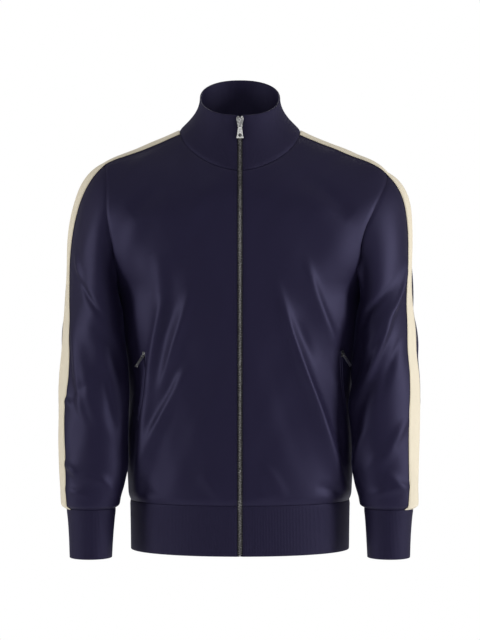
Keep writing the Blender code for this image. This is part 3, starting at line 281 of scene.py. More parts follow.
# Folds fade to nothing over these widths beside the side seams, the hem seam, the zip and the
# cuff seam, and over these shares of the sleeve head and of the way to the underarm line.
SIDE_FADE = 9
HEM_FADE = 22
ZIP_FADE_START = 6
ZIP_FADE = 30
CUFF_FADE = 18
HEAD_FADE = 0.5
UNDERARM_FADE = 0.22

SEAM_HALF_GAP = 0.15
SHARPEST_CORNER = 0.35  # keeps a sharp corner's points from being drawn back too far
THIN_RIM = 0.3          # a rounded edge's half thickness at its very end, as a share
MERGE_DISTANCE = 0.02
WALLS = {  # how far each piece's outer and inner faces stand from the cloth surface
    "body": (0.0, -2.0),
    "rib": (0.8, -2.0),
    "stripe": (1.3, 0.3),
}

# Cells of the cloth grids.
STRIPE_CELLS = 8   # on each half of the stripe
NECK_CELLS = {"front": 24, "back": 18}  # from the stripe to the middle of the neck
ARMHOLE_CELLS = 60
ACROSS_CELLS = 72  # from the middle of the front or back to the side
SIDE_CELLS = 84
SLEEVE_HEAD_CELLS = 54
SLEEVE_CELLS = 90
SLEEVE_TUCK_CELLS = 12   # of those, below SLEEVE_TUCK_Z
COLLAR_CELLS = 26
HEM_CELLS = 18
CUFF_CELLS = 18
LINE_STEPS = 200        # closely spaced places on a seam's line
CURVE_STEPS = 400       # and on a curved one
RIM_STEPS = (0.35, 0.9, 1.7)   # rows close to a folded rib edge, so that it can be round

RIPPLES = (  # wavelengths along x, y and z, shift, height
    (151, 97, 210, 0.4, 0.45), (-83, 131, 120, 2.1, 0.35), (61, -77, 173, 4.0, 0.25),
    (-47, 59, 88, 1.3, 0.16),
)
COLLAR_HEIGHT = 90.0
SEAM_SINK = 0.9     # how far the cloth dips at a seam
SEAM_REACH = 5.0    # and how far from the seam that starts
SHARP_DEGREES = 55
TAPE_OFFSETS = (0.4, 2.0, ZIP_EDGE_X, 7.0, 10.5, 14)  # columns across each tape
TAPE_LEAN = 0.035       # how far a tape falls away behind the cloth, for each mm across
TAPE_FRONT = -2.3
TAPE_BACK = -3.3
TAPE_TOP_Z = 9.0
LINE_BELOW_RIM = 2      # the zip's line starts this far below the collar's rim
LINE_TOP_STEPS = 60     # places on it above the neck seam
LINE_LOW_STEPS = 300    # and below
ON_LINE = 0.05
SLOPE_STEP = 0.5        # a line's direction is taken over this much on each side
TEETH_START = 12.0      # the teeth start and stop this far from the line's two ends
TEETH_STOP = 2.0
TOOTH_PITCH = 2.6       # along one tape
TOOTH_HALF = TOOTH_PITCH * 0.33
TOOTH_RINGS = (  # height over the line, share of the half length, inner and outer edge across
    (-1.9, 0.8, -0.4, 3.3), (-1.2, 1.0, -0.8, 3.45), (0.3, 1.0, -0.8, 3.45),
    (0.75, 0.7, -0.45, 3.2))
STITCH = {"pitch": 2.8, "length": 2.2, "width": 0.55, "rise": 0.3, "lift": 0.02}
STITCH_RINGS = ((-0.5, 0.25), (-0.36, 0.8), (0.0, 1.0), (0.36, 0.8), (0.5, 0.25))  # at, size
STITCH_UNDER = -0.1     # how far a stitch's underside lies in the cloth
STRIPE_STITCH_IN = 1.5
ZIP_STITCH_IN = 5.5
ZIP_STITCH_COLUMN = 4   # a column beside the zip's edge, for the direction away from it
POCKETS = {
    "left": {"top": (158, -349), "bottom": (168, -455)},
    "right": {"top": (147, -351), "bottom": (160, -460)},
}
POCKET_COLUMNS = 21
POCKET_HALF_WIDTH = 4.5
POCKET_OFFSET = (1.5, 0.5)
POCKET_STEPS = 60
LIP = {"below": 0.15, "slit": 1.1, "slit_width": 0.09, "roll": 0.9, "roll_power": 6,
       "end": 3.0, "end_level": 0.35}

NAVY = (0.0098, 0.0077, 0.0235)
NAVY_RIB = (0.0106, 0.0084, 0.0250)
CREAM = (0.74, 0.67, 0.53)
NAVY_TAPE = (0.010, 0.009, 0.022)
PLAIN_GLOSS = (0.1, (1.0, 1.0, 1.0))  # how strongly cloth shines, and the shine's tint
SATIN_GLOSS = (0.35, (0.55, 0.52, 1.0))
RIB_GLOSS = (0.3, (0.55, 0.52, 1.0))
# Knit: noise scales per metre of the fuzz, the uneven dye and its specks, then how far the legs of
# a loop slant, how strong the loops are against the fuzz, how much the tone varies, how dark the
# painted shade in the rib's valleys is, and the shape of the rib's profile.
KNIT = {"fuzz": 2600.0, "patches": 9.0, "specks": 900.0, "slant": 0.22, "loops": 0.25,
        "dark": 0.86, "light": 1.14, "rib_valley_painted_shade": 0.55, "groove_shape": 0.55}
# Metal: noise scales of stains and scratches, where stains start and end, how far scratches are
# drawn out, and how much they add to the roughness and the height.
METAL = {"stains": 420.0, "stain_from": 0.35, "stain_to": 0.7, "scratches": 5200.0,
         "stretch": 0.12, "rough": 0.16, "height": 0.00002}
NAVY_SHEEN = (0.07, 0.3, (0.40, 0.38, 1.0))  # weight, roughness and tint of the fuzz

SHEET = {"least_length": 0.03, "least_width": 0.012, "room": 1.02, "least_share": 0.31}

# The photo's camera, level and square on, and the studio round it, in metres.
CAMERA_DISTANCE = 3.0
CAMERA_Z = -0.3024
SENSOR_MM = 36.0
LENS_MM = 105.47
FLOOR_Z = -1.45
FLOOR_SIZE = 6.8
FLOOR_GLOW = 0.3  # keeps it pale where little light falls
AMBIENT = 0.205
LIT_POINT = (0.0, 0.0, -0.33)
LIGHTS = (  # name, place, size, watts
    ("right key", (2.4, -0.75, 0.05), (0.5, 1.7), 44.0),
    ("left softbox", (-2.4, -0.75, 0.05), (0.5, 1.7), 28.0),
    ("front fill", (0.0, -3.4, 0.8), (2.4, 1.4), 10.0),
    ("top light", (0.0, -0.4, 1.9), (1.8, 1.2), 6.0),
    ("back fill", (0.0, 2.6, 1.9), (2.4, 1.0), 14.0),
)


def smooth(at, xs, ys):
    """A smooth curve through table points, with no overshoot, and flat past its ends."""
    order = np.argsort(xs)
    xs, ys = xs[order], ys[order]
    at = np.clip(at, xs[0], xs[-1])
    step = np.diff(xs)
    slope = np.diff(ys) / step
    bend = np.concatenate([slope[:1], np.zeros(len(slope) - 1), slope[-1:]])
    same = slope[:-1] * slope[1:] > 0
    total = np.where(same, slope[:-1] + slope[1:], 1.0)
    bend[1:-1] = np.where(same, 2 * slope[:-1] * slope[1:] / total, 0.0)
    i = np.clip(np.searchsorted(xs, at) - 1, 0, len(step) - 1)
    t = (at - xs[i]) / step[i]
    start = (1 + 2 * t) * (1 - t) ** 2 * ys[i] + t * (1 - t) ** 2 * step[i] * bend[i]
    end = t * t * (3 - 2 * t) * ys[i + 1] - t * t * (1 - t) * step[i] * bend[i + 1]
    return start + end


def column(data, name, at, by="z"):
    return smooth(at, data[by], data[name])


def pair(a, b):
    """Points of a plane from their two coordinates."""
    return np.stack(np.broadcast_arrays(a, b), axis=-1)


def unit(vectors):
    length = np.linalg.norm(vectors, axis=-1, keepdims=True)
    return vectors / np.maximum(length, 1e-12)


def lengths_along(points):
    steps = np.linalg.norm(np.diff(points, axis=0), axis=1)
    return np.concatenate([[0.0], np.cumsum(steps)])


def rim_marks(start, end, cells):
    """Even rows, with closer ones just before the folded edge at the end."""
    way = math.copysign(1, end - start)
    near = [end - way * step for step in reversed(RIM_STEPS)]
    even = np.linspace(start, near[0], cells - len(near) + 1)
    return np.concatenate([even, near[1:], [end]])


def marks(stops, cells):
    """Distances from stop to stop, evenly spaced with so many cells between each two."""
    runs = [np.linspace(a, b, n + 1)[:-1] for a, b, n in zip(stops[:-1], stops[1:], cells)]
    return np.concatenate(runs + [[stops[-1]]])


# ---- torso -----------------------------------------------------------------------------


def torso_point(face, p, a):
    """The torso's surface on the wearer's left. p runs from 0 at the centre to 1 at the side
    seam, and a from 0 on the shoulder line through a quarter turn to the upright wall."""
    corner = CORNER[face]
    ratio = np.sin(p * math.pi / 2) ** (2 / corner)
    ridge_x = ratio * RIDGE_WIDTH
    over = np.maximum(a - math.pi / 2, 0.0)
    bent = np.minimum(a, math.pi / 2)
    drop = column(RIDGE, face + "_drop", ridge_x, "x") * (1 - np.cos(bent) + over)
    z = column(RIDGE, "z", ridge_x, "x") - drop
    closing = np.sin(bent) ** (2 / column(RIDGE, face + "_round", ridge_x, "x"))
    depth = column(TORSO, face, z) * np.maximum(np.cos(p * math.pi / 2), 0) ** (2 / corner)
    y = depth * closing * (-1 if face == "front" else 1)
    return np.stack([column(TORSO, "half_width", z) * ratio, y, z], axis=-1)


def closing_angle(face, p, z):
    """The a of the surface point at p and this height."""
    ridge_x = np.sin(p * math.pi / 2) ** (2 / CORNER[face]) * RIDGE_WIDTH
    t = (column(RIDGE, "z", ridge_x, "x") - z) / column(RIDGE, face + "_drop", ridge_x, "x")
    return np.where(t < 1, np.arccos(1 - np.clip(t, 0, 1)), math.pi / 2 + t - 1)


def torso_place(face, x, z):
    """The p and a of the surface point seen at x, z."""
    ratio = np.clip(x / column(TORSO, "half_width", z), 0, 1)
    p = np.arcsin(ratio ** (CORNER[face] / 2)) * 2 / math.pi
    return pair(p, closing_angle(face, p, z))


def place_at(face, places, distances):
    """Places at these distances along a line of closely spaced places."""
    run = lengths_along(torso_point(face, places[:, 0], places[:, 1]))
    return np.stack([np.interp(distances, run, places[:, i]) for i in (0, 1)], axis=-1)


def line_length(face, places):
    return lengths_along(torso_point(face, places[:, 0], places[:, 1]))[-1]


def dense(points, count=CURVE_STEPS):
    """Many points on a smooth curve through these few."""
    points = np.array(points, dtype=float)
    run = lengths_along(points)
    at = np.linspace(0, run[-1], count)
    return np.stack([spline(at, run, points[:, i]) for i in range(points.shape[1])], axis=-1)


def spline(at, xs, ys):
    """A natural cubic spline."""
    n = len(xs)
    step = np.diff(xs)
    system = np.eye(n)
    right = np.zeros(n)
    for i in range(1, n - 1):
        system[i, i - 1:i + 2] = (step[i - 1], 2 * (step[i - 1] + step[i]), step[i])
        right[i] = 6 * ((ys[i + 1] - ys[i]) / step[i] - (ys[i] - ys[i - 1]) / step[i - 1])
    second = np.linalg.solve(system, right)
    i = np.clip(np.searchsorted(xs, at) - 1, 0, n - 2)
    low, high = at - xs[i], xs[i + 1] - at
    cubic = (second[i] * high ** 3 + second[i + 1] * low ** 3) / (6 * step[i])
    return (cubic + (ys[i] / step[i] - second[i] * step[i] / 6) * high
            + (ys[i + 1] / step[i] - second[i + 1] * step[i] / 6) * low)


def armhole_places(side, face):
    seam = ARMHOLES[side, face]
    places = dense(torso_place(face, seam["x"], seam["z"]))
    places[0, 1] = 0.0
    places[-1, 0] = 1.0
    return pair(np.clip(places[:, 0], 0, 1), np.maximum(places[:, 1], 0))


def neck_places(face):
    """The neck seam, from the shoulder line to the centre front or centre back."""
    turn = np.linspace(0, math.pi / 2, CURVE_STEPS)
    power = 2 / NECK_CURVE[face]
    x = NECK_HALF_WIDTH * np.cos(turn) ** power
    low = NECK_FRONT_Z if face == "front" else NECK_BACK_Z
    end_x = ZIP_EDGE_X if face == "front" else 0.0
    keep = x > end_x
    x = np.append(x[keep], end_x)
    z = np.append(low * np.sin(turn[keep]) ** power, low)
    places = torso_place(face, x, z)
    places[0, 1] = 0.0
    return places


def centre_places(face, top, bottom):
    x = ZIP_EDGE_X if face == "front" else 0.0
    z = np.linspace(top, bottom, LINE_STEPS)
    return torso_place(face, np.full_like(z, x), z)


def side_places(face):
    z = np.linspace(UNDERARM_Z, HEM_SEAM_Z, LINE_STEPS)
    places = torso_place(face, column(TORSO, "half_width", z), z)
    places[:, 0] = 1.0
    return places


def fill(face, top, bottom, left, right):
    """Places of a whole grid from those of its four edges, in rows from the top down. They are
    blended by p and height."""
    def run(edge):
        at = lengths_along(torso_point(face, edge[:, 0], edge[:, 1]))
        return at / at[-1]
    v = ((run(left) + run(right)) / 2)[:, None, None]
    u = ((run(top) + run(bottom)) / 2)[None, :, None]
    top, bottom, left, right = (
        pair(edge[:, 0], torso_point(face, edge[:, 0], edge[:, 1])[:, 2])
        for edge in (top, bottom, left, right))
    bend_at_top = top[None] - (1 - u) * top[0] - u * top[-1]
    bend_at_bottom = bottom[None] - (1 - u) * bottom[0] - u * bottom[-1]
    blend = (1 - u) * left[:, None] + u * right[:, None]
    blend = blend + (1 - v) ** 3 * bend_at_top + v * bend_at_bottom
    p = np.clip(blend[..., 0], 0, 1)
    return p, closing_angle(face, p, blend[..., 1])


def edge_places(face, lines, cells):
    """Grid points on an edge made of lines end to end, with the stripe's half-width first."""
    lengths = np.cumsum([line_length(face, line) for line in lines])
    at = marks([0, STRIPE_WIDTH / 2, *lengths], cells)
    return place_at(face, np.concatenate([lines[0]] + [line[1:] for line in lines[1:]]), at)


def torso_grid(side, face):
    """Half the front or back: the shoulder seam is its top edge and the hem seam its bottom."""
    right = edge_places(face, [armhole_places(side, face), side_places(face)],
                        (STRIPE_CELLS, ARMHOLE_CELLS, SIDE_CELLS))
    neck_cells = NECK_CELLS[face]
    centre_top = NECK_FRONT_Z if face == "front" else NECK_BACK_Z
    left = edge_places(face, [neck_places(face), centre_places(face, centre_top, CHEST_Z),
                              centre_places(face, CHEST_Z, HEM_SEAM_Z)],
                       (STRIPE_CELLS, neck_cells, ARMHOLE_CELLS - neck_cells, SIDE_CELLS))
    shoulder_x = np.linspace(NECK_HALF_WIDTH, ARMHOLES[side, face]["x"][0], ACROSS_CELLS + 1)
    top = torso_place(face, shoulder_x, column(RIDGE, "z", shoulder_x, "x"))
    top[:, 1] = 0.0
    top[0], top[-1] = left[0], right[0]
    hem_x = column(TORSO, "half_width", HEM_SEAM_Z)
    p = np.linspace(left[-1, 0], 1, LINE_STEPS)
    hem = torso_place(face, hem_x * np.sin(p * math.pi / 2) ** (2 / CORNER[face]),
                      np.full_like(p, HEM_SEAM_Z))
    hem[:, 0] = p
    bottom = place_at(face, hem, np.linspace(0, line_length(face, hem), ACROSS_CELLS + 1))
    grid = torso_point(face, *fill(face, top, bottom, left, right))
    if face == "front":
        neck_row = STRIPE_CELLS + neck_cells
        grid[neck_row:, 0, 0] = ZIP_EDGE_X
    return grid * (SIDES[side], 1, 1)


def hem_grid(top_edge):
    """The hem band hangs from the bottom edge of the fronts and back."""
    rows = []
    for z in rim_marks(HEM_SEAM_Z, HEM_Z, HEM_CELLS):
        front, back, widen = (column(TORSO, name, z) / column(TORSO, name, HEM_SEAM_Z)
                              for name in ("front", "back", "half_width"))
        grow = np.where(top_edge[:, 1] < 0, front, back)
        at_zip = np.abs(top_edge[:, 0]) <= ZIP_EDGE_X + MERGE_DISTANCE / 2
        x = np.where(at_zip, top_edge[:, 0], top_edge[:, 0] * widen)
        rows.append(np.stack([x, top_edge[:, 1] * grow, np.full(len(x), z)], axis=-1))
    return np.stack(rows)


# ---- sleeves ---------------------------------------------------------------------------


def sleeve_section(side, z):
    """The section's middle, half its width across the lean, the lean's own share, and depth."""
    data = SLEEVES[side]
    outer, inner = column(data, "outer", z), column(data, "inner", z)
    deep = column(data, "half_depth", z)
    leaning = column(data, "lean", z) * deep
    wide = np.sqrt(((outer - inner) / 2) ** 2 - leaning ** 2)
    return (outer + inner) / 2, wide, leaning, deep


def sleeve_point(side, z, turn):
    """A point round the sleeve: turn is 0 on the outside and a quarter turn at the front."""
    data = SLEEVES[side]
    middle, wide, leaning, deep = sleeve_section(side, z)
    x = middle + wide * np.cos(turn) - leaning * np.sin(turn)
    y = column(data, "y", z) - deep * np.sin(turn)
    return np.stack([x * SIDES[side], y, z + 0 * turn], axis=-1)


def stripe_turns(side, z):
    """Where the stripe's front and back edges lie round the sleeve at this height."""
    _, wide, leaning, _ = sleeve_section(side, z)
    reach = np.hypot(wide, leaning)
    outermost = -np.arctan2(leaning, wide)
    front = outermost + np.arccos(1 - column(SLEEVES[side], "stripe_in", z) / reach)
    fan = np.linspace(front - STRIPE_SEARCH, front, STRIPE_SEARCH_STEPS)
    run = lengths_along(sleeve_point(side, np.full(STRIPE_SEARCH_STEPS, float(z)), fan))
    back = np.interp(run[-1] - STRIPE_WIDTH, run, fan)
    return front, back


def sleeve_turns(side, z, share):
    """Turns of every column. share runs 0 to 1 over half the stripe, then 1 to 2 to the
    underarm, and is below 0 at the back."""
    front, back = stripe_turns(side, z)
    middle = (front + back) / 2
    ahead = np.where(share <= 1, middle + (front - middle) * share,
                     front + (math.pi - front) * (share - 1))
    behind = np.where(share >= -1, middle - (back - middle) * share,
                      back + (-math.pi - back) * (-share - 1))
    return np.where(share >= 0, ahead, behind)


def armhole_loop(side):
    """The armhole from the shoulder round the front and back, with each point's share as
    sleeve_turns takes it.
    """
    half_stripe = STRIPE_WIDTH / 2
    halves = {}
    for face in ("front", "back"):
        line = armhole_places(side, face)
        total = line_length(face, line)
        at = marks((0, half_stripe, total), (STRIPE_CELLS, ARMHOLE_CELLS))
        places = place_at(face, line, at)
        points = torso_point(face, places[:, 0], places[:, 1])
        share = np.where(at <= half_stripe, at / half_stripe,
                         1 + (at - half_stripe) / (total - half_stripe))
        halves[face] = (points * (SIDES[side], 1, 1), share)
    points = np.concatenate([halves["front"][0], halves["back"][0][-2::-1]])
    share = np.concatenate([halves["front"][1], -halves["back"][1][-2::-1]])
    return points, share


def sleeve_head(side, points, share):
    """From the armhole to the first ring: each column is a curve between them."""
    ring = sleeve_point(side, np.full(len(share), float(SLEEVE_TOP_Z)),
                        sleeve_turns(side, SLEEVE_TOP_Z, share))
    below_z = float(SLEEVE_TOP_Z - BELOW_TOP)
    below = sleeve_point(side, np.full(len(share), below_z), sleeve_turns(side, below_z, share))
    chord = ring - points
    reach = np.linalg.norm(chord, axis=1, keepdims=True)
    turn = np.minimum(np.abs(share), 2) / 2 * math.pi
    level = np.cos(turn / 2)[:, None] ** 2
    outward = np.array([SIDES[side], 0.0, 0.0])
    sideways = outward * (HEAD_OUT + HEAD_OUT_MORE * level)
    start = unit(chord / reach + sideways + np.array([0, 0, HEAD_UP]) * level)
    end = unit(below - ring)
    rows = []
    for t in np.linspace(0, 1, SLEEVE_HEAD_CELLS + 1):
        rows.append((1 + 2 * t) * (1 - t) ** 2 * points + t * t * (3 - 2 * t) * ring
                    + t * (1 - t) ** 2 * HEAD_START * reach * start
                    - t * t * (1 - t) * (HEAD_END + HEAD_END_MORE * level) * reach * end)
    return np.stack(rows)


def sleeve_grids(side):
    """The sleeve and the cuff below it."""
    points, share = armhole_loop(side)
    head = sleeve_head(side, points, share)
    body_z = marks((SLEEVE_TOP_Z, SLEEVE_TUCK_Z, CUFF_SEAM_Z),
                   (SLEEVE_CELLS - SLEEVE_TUCK_CELLS, SLEEVE_TUCK_CELLS))
    cuff_z = rim_marks(CUFF_SEAM_Z, CUFF_Z, CUFF_CELLS)

    def rings(heights):
        return np.stack([sleeve_point(side, np.full(len(share), z), sleeve_turns(side, z, share))
                         for z in heights])
    body = rings(body_z)
    sleeve = np.concatenate([head, body[1:]])
    return sleeve, rings(cuff_z)


# ---- collar ----------------------------------------------------------------------------


def collar_grid(base):
    """The collar rises from the neck seam, drawing in to its rim. base runs from the wearer's
    right edge of the zip round the back to the left edge."""
    rim = COLLAR_RIM
    run = lengths_along(base)
    side_right = int(np.argmin(base[:, 0]))
    side_left = int(np.argmax(base[:, 0]))
    back = int(np.argmin(np.abs(base[side_right:side_left, 0]))) + side_right
    stops = [0, side_right, back, side_left, len(base) - 1]
    zip_turn = math.acos((ZIP_EDGE_X / rim["half_width"]) ** (rim["curve"] / 2))
    turns = [-math.pi / 2 - (math.pi / 2 - zip_turn), -math.pi, -1.5 * math.pi, -2 * math.pi,
             -2 * math.pi - zip_turn]
    turn = np.interp(run, run[stops], turns)
    power = 2 / rim["curve"]
    cos, sin = np.cos(turn), np.sin(turn)
    rim_x = rim["half_width"] * np.sign(cos) * np.abs(cos) ** power
    reach = np.where(sin < 0, rim["middle_y"] - rim["front_y"], rim["back_y"] - rim["middle_y"])
    rim_y = rim["middle_y"] + reach * np.sign(sin) * np.abs(sin) ** power
    slope = (rim["back_z"] - rim["front_z"]) / (rim["back_y"] - rim["front_y"])
    rim_z = rim["front_z"] + (rim_y - rim["front_y"]) * slope
    edge = np.stack([rim_x, rim_y, rim_z], axis=-1)
    edge[[0, -1], 0] = base[[0, -1], 0]
    sideways = (cos ** 2)[:, None]
    rows = []
    for h in rim_marks(0, COLLAR_HEIGHT, COLLAR_CELLS) / COLLAR_HEIGHT:
        late = 1 + rim["side_late"] * sideways
        drawn_in = 1 - (1 - h ** late) ** (rim["draw"] + rim["side_draw"] * sideways)
        level = base + (edge - base) * drawn_in
        level[:, 2] = base[:, 2] + (edge[:, 2] - base[:, 2]) * h
        rows.append(level)
    return np.stack(rows)


# ---- folds -----------------------------------------------------------------------------


def fold_height(folds, at, z):
    """How far the folds move the cloth out, at this place."""
    total = np.zeros_like(z)
    for i in range(len(folds["width"])):
        start = np.array([folds["start_at"][i], folds["start_z"][i]])
        end = np.array([folds["end_at"][i], folds["end_z"][i]])
        length = np.linalg.norm(end - start)
        along = (end - start) / length
        dx, dz = at - start[0], z - start[1]
        t = (dx * along[0] + dz * along[1]) / length
        off = dx * -along[1] + dz * along[0] - folds["bow"][i] * 4 * t * (1 - t)
        inside = np.clip(t, 0, 1)
        beyond = (t - inside) * length
        ends = np.sin(math.pi * inside) ** FOLD_END_POWER
        near = np.exp(-(off ** 2 + beyond ** 2) / folds["width"][i] ** 2)
        total += folds["height"][i] * near * (FOLD_END_LEVEL + (1 - FOLD_END_LEVEL) * ends)
    return total


def fade(distance, over):
    """0 at no distance, rising smoothly to 1."""
    t = np.clip(distance / over, 0, 1)
    return t * t * (3 - 2 * t)


def ripple(grid):
    """Slight unevenness of hanging cloth, in millimetres."""
    total = np.zeros(grid.shape[:-1])
    for x, y, z, shift, size in RIPPLES:
        total += size * np.sin(2 * math.pi * (grid[..., 0] / x + grid[..., 1] / y + grid[..., 2] / z)
                               + shift)
    return total


def all_folds(name, at, grid):
    z = grid[..., 2]
    return fold_height(FOLDS[name], at, z) + (fold_height(CREASES[name], at, z) + ripple(grid))


def torso_folds(face, grid):
    z = grid[..., 2]
    from_side = column(TORSO, "half_width", z) - np.abs(grid[..., 0])
    from_zip = np.abs(grid[..., 0]) - ZIP_FADE_START
    return (all_folds(face, grid[..., 0], grid) * fade(from_side, SIDE_FADE)
            * (fade(z - HEM_SEAM_Z, HEM_FADE) * fade(from_zip, ZIP_FADE)))


def sleeve_folds(side, grid):
    """Distance round each ring is measured from its outermost column."""
    run = run_across(grid)
    half = run[:, -1:] / 2
    around = np.where(run > half, run - 2 * half, run)
    rows = np.arange(len(grid))[:, None] * np.ones(grid.shape[1])
    inner = np.abs(np.abs(around) / half - 1)
    return (all_folds("sleeve_" + side, around, grid) * fade(rows, SLEEVE_HEAD_CELLS * HEAD_FADE)
            * fade(grid[..., 2] - CUFF_SEAM_Z, CUFF_FADE) * fade(inner, UNDERARM_FADE))


# ---- the cloth surface and its pieces --------------------------------------------------


BODY_PARTS = (
    ("front_left", "front_right", "back", "hem_band"), ("collar",),
    ("sleeve_left", "cuff_left"), ("sleeve_right", "cuff_right"))


def run_across(grid):
    """Distance along each row of a grid."""
    steps = np.linalg.norm(np.diff(grid, axis=1), axis=2)
    return np.concatenate([np.zeros((len(grid), 1)), np.cumsum(steps, axis=1)], axis=1)


def run_down(grid):
    return run_across(grid.transpose(1, 0, 2)).T


class Cloth:
    """The whole garment's outer surface. Grids that share an edge share its points."""

    def __init__(self):
        self.index = {}
        self.points = []
        self.lifts = []
        self.users = []
        self.faces = {}
        self.places = {}
        self.lines = {}

    def add(self, piece, grid, uv, lift=None, flip=False):
        """Add a grid's cells to a piece, and return the index of each of its points."""
        lift = np.zeros(grid.shape[:2]) if lift is None else lift
        ids = np.empty(grid.shape[:2], dtype=int)
        for row in range(grid.shape[0]):
            for col in range(grid.shape[1]):
                ids[row, col] = self.point(piece, grid[row, col], lift[row, col])
        self.add_cells(piece, ids, uv, flip)
        return ids

    def point(self, piece, place, lift):
        """The index of a point, which is shared with any other within the merging distance."""
        key = tuple(np.round(place / MERGE_DISTANCE).astype(int))
        found = self.index.get(key)
        if found is None:
            for shift in itertools.product((0, -1, 1), repeat=3):
                found = self.index.get(tuple(k + move for k, move in zip(key, shift)))
                if found is not None:
                    break
        if found is None:
            found = self.index[key] = len(self.points)
            self.points.append(place)
            self.lifts.append([])
            self.users.append(set())
        self.lifts[found].append(lift)
        self.users[found].add(piece)
        return found

    def add_cells(self, piece, ids, uv, flip=False):
        corners = (slice(None, -1), slice(None, -1)), (slice(None, -1), slice(1, None)), \
            (slice(1, None), slice(1, None)), (slice(1, None), slice(None, -1))
        a, b, c, d = (ids[corner].ravel() for corner in corners)
        ua, ub, uc, ud = (uv[corner].reshape(-1, 2) for corner in corners)
        cells = np.concatenate([np.stack([a, b, c], -1), np.stack([a, c, d], -1)])
        places = np.concatenate([np.stack([ua, ub, uc], 1), np.stack([ua, uc, ud], 1)])
        if flip:
            cells, places = cells[:, ::-1], places[:, ::-1]
        self.faces.setdefault(piece, []).append(cells)
        self.places.setdefault(piece, []).append(places)

    def cells(self, piece):
        return np.concatenate(self.faces[piece])

    def normals(self, points):
        """Point normals. A seam between two parts of the body gets the mean of both."""
        total = np.zeros_like(points)
        for part in BODY_PARTS:
            share = np.zeros_like(points)
            for piece in part:
                cells = self.cells(piece)
                a, b, c = points[cells[:, 0]], points[cells[:, 1]], points[cells[:, 2]]
                across = np.cross(b - a, c - a)
                for corner in range(3):
                    np.add.at(share, cells[:, corner], across)
            total += unit(share)
        at_zip = (np.abs(points[:, 0]) < ZIP_EDGE_X + MERGE_DISTANCE) & (points[:, 1] < 0)
        total[at_zip, 0] = 0.0
        return unit(total)

    def settle(self):
        """Push the folds out, and work out the normals of the folded surface."""
        points = np.array(self.points)
        lifts = np.array([sum(values) / len(values) for values in self.lifts])
        self.surface = points + self.normals(points) * lifts[:, None]
        self.out = self.normals(self.surface)

    def wall(self, piece, outer, inner):
        """A closed wall on the piece's cells, sunk a little along seams and round at free edges.
        Returns points, faces and the place of each corner on the flat cloth."""
        cells = self.cells(piece)
        places = np.concatenate(self.places[piece])
        used = np.unique(cells)
        local = np.full(len(self.surface), -1)
        local[used] = np.arange(len(used))
        cells = local[cells]
        points, normals = self.surface[used], self.out[used]
        edges = boundary(cells)
        rim_ids = sorted({i for pair in edges for i in pair})
        free = [i for i in rim_ids if len(self.users[used[i]]) < 2 or piece.startswith("stripe")]
        seam = [i for i in rim_ids if i not in set(free)]
        half = (outer - inner) / 2
        level = np.full(len(used), half)
        if free:
            near = np.minimum(distance_to(points, points[free]), half)
            level = np.sqrt(np.maximum(half ** 2 - (half - near) ** 2, (THIN_RIM * half) ** 2))
        sink = np.zeros(len(used))
        if seam:
            sink = SEAM_SINK * (1 - fade(distance_to(points, points[seam]), SEAM_REACH))
        middle = (outer + inner) / 2
        points = points + draw_back(points, normals, edges)
        count = len(used)
        top = points + normals * (middle + level - np.minimum(sink, level))[:, None]
        bottom = points + normals * (middle - level)[:, None]
        rim = []
        for a, b in edges:
            rim += [(a, b + count, b), (a, a + count, b + count)]
        faces = np.concatenate([cells, cells[:, ::-1] + count, np.array(rim)])
        flat = np.concatenate([places, places[:, ::-1], np.zeros((len(rim), 3, 2))])
        return np.concatenate([top, bottom]), faces, flat


def distance_to(points, targets):
    tree = KDTree(len(targets))
    for i, target in enumerate(targets):
        tree.insert(target, i)
    tree.balance()
    return np.array([tree.find(point)[2] for point in points])


def boundary(cells):
    """Directed edges that only one triangle has."""
    pairs = set()
    for a, b, c in cells.tolist():
        pairs.update(((a, b), (b, c), (c, a)))
    return [pair for pair in sorted(pairs) if (pair[1], pair[0]) not in pairs]


def draw_back(points, normals, edges):
    """Move each edge point half a seam gap into its piece, square to both its edges."""
    first, second = {}, {}
    for a, b in edges:
        along = points[b] - points[a]
        first[a] = unit(np.cross(normals[a], along))
        second[b] = unit(np.cross(normals[b], along))
    moves = np.zeros_like(points)
    for i in first:
        inward = first[i] + second[i]
        moves[i] = inward / max(1 + float(first[i] @ second[i]), SHARPEST_CORNER) * SEAM_HALF_GAP
    return moves


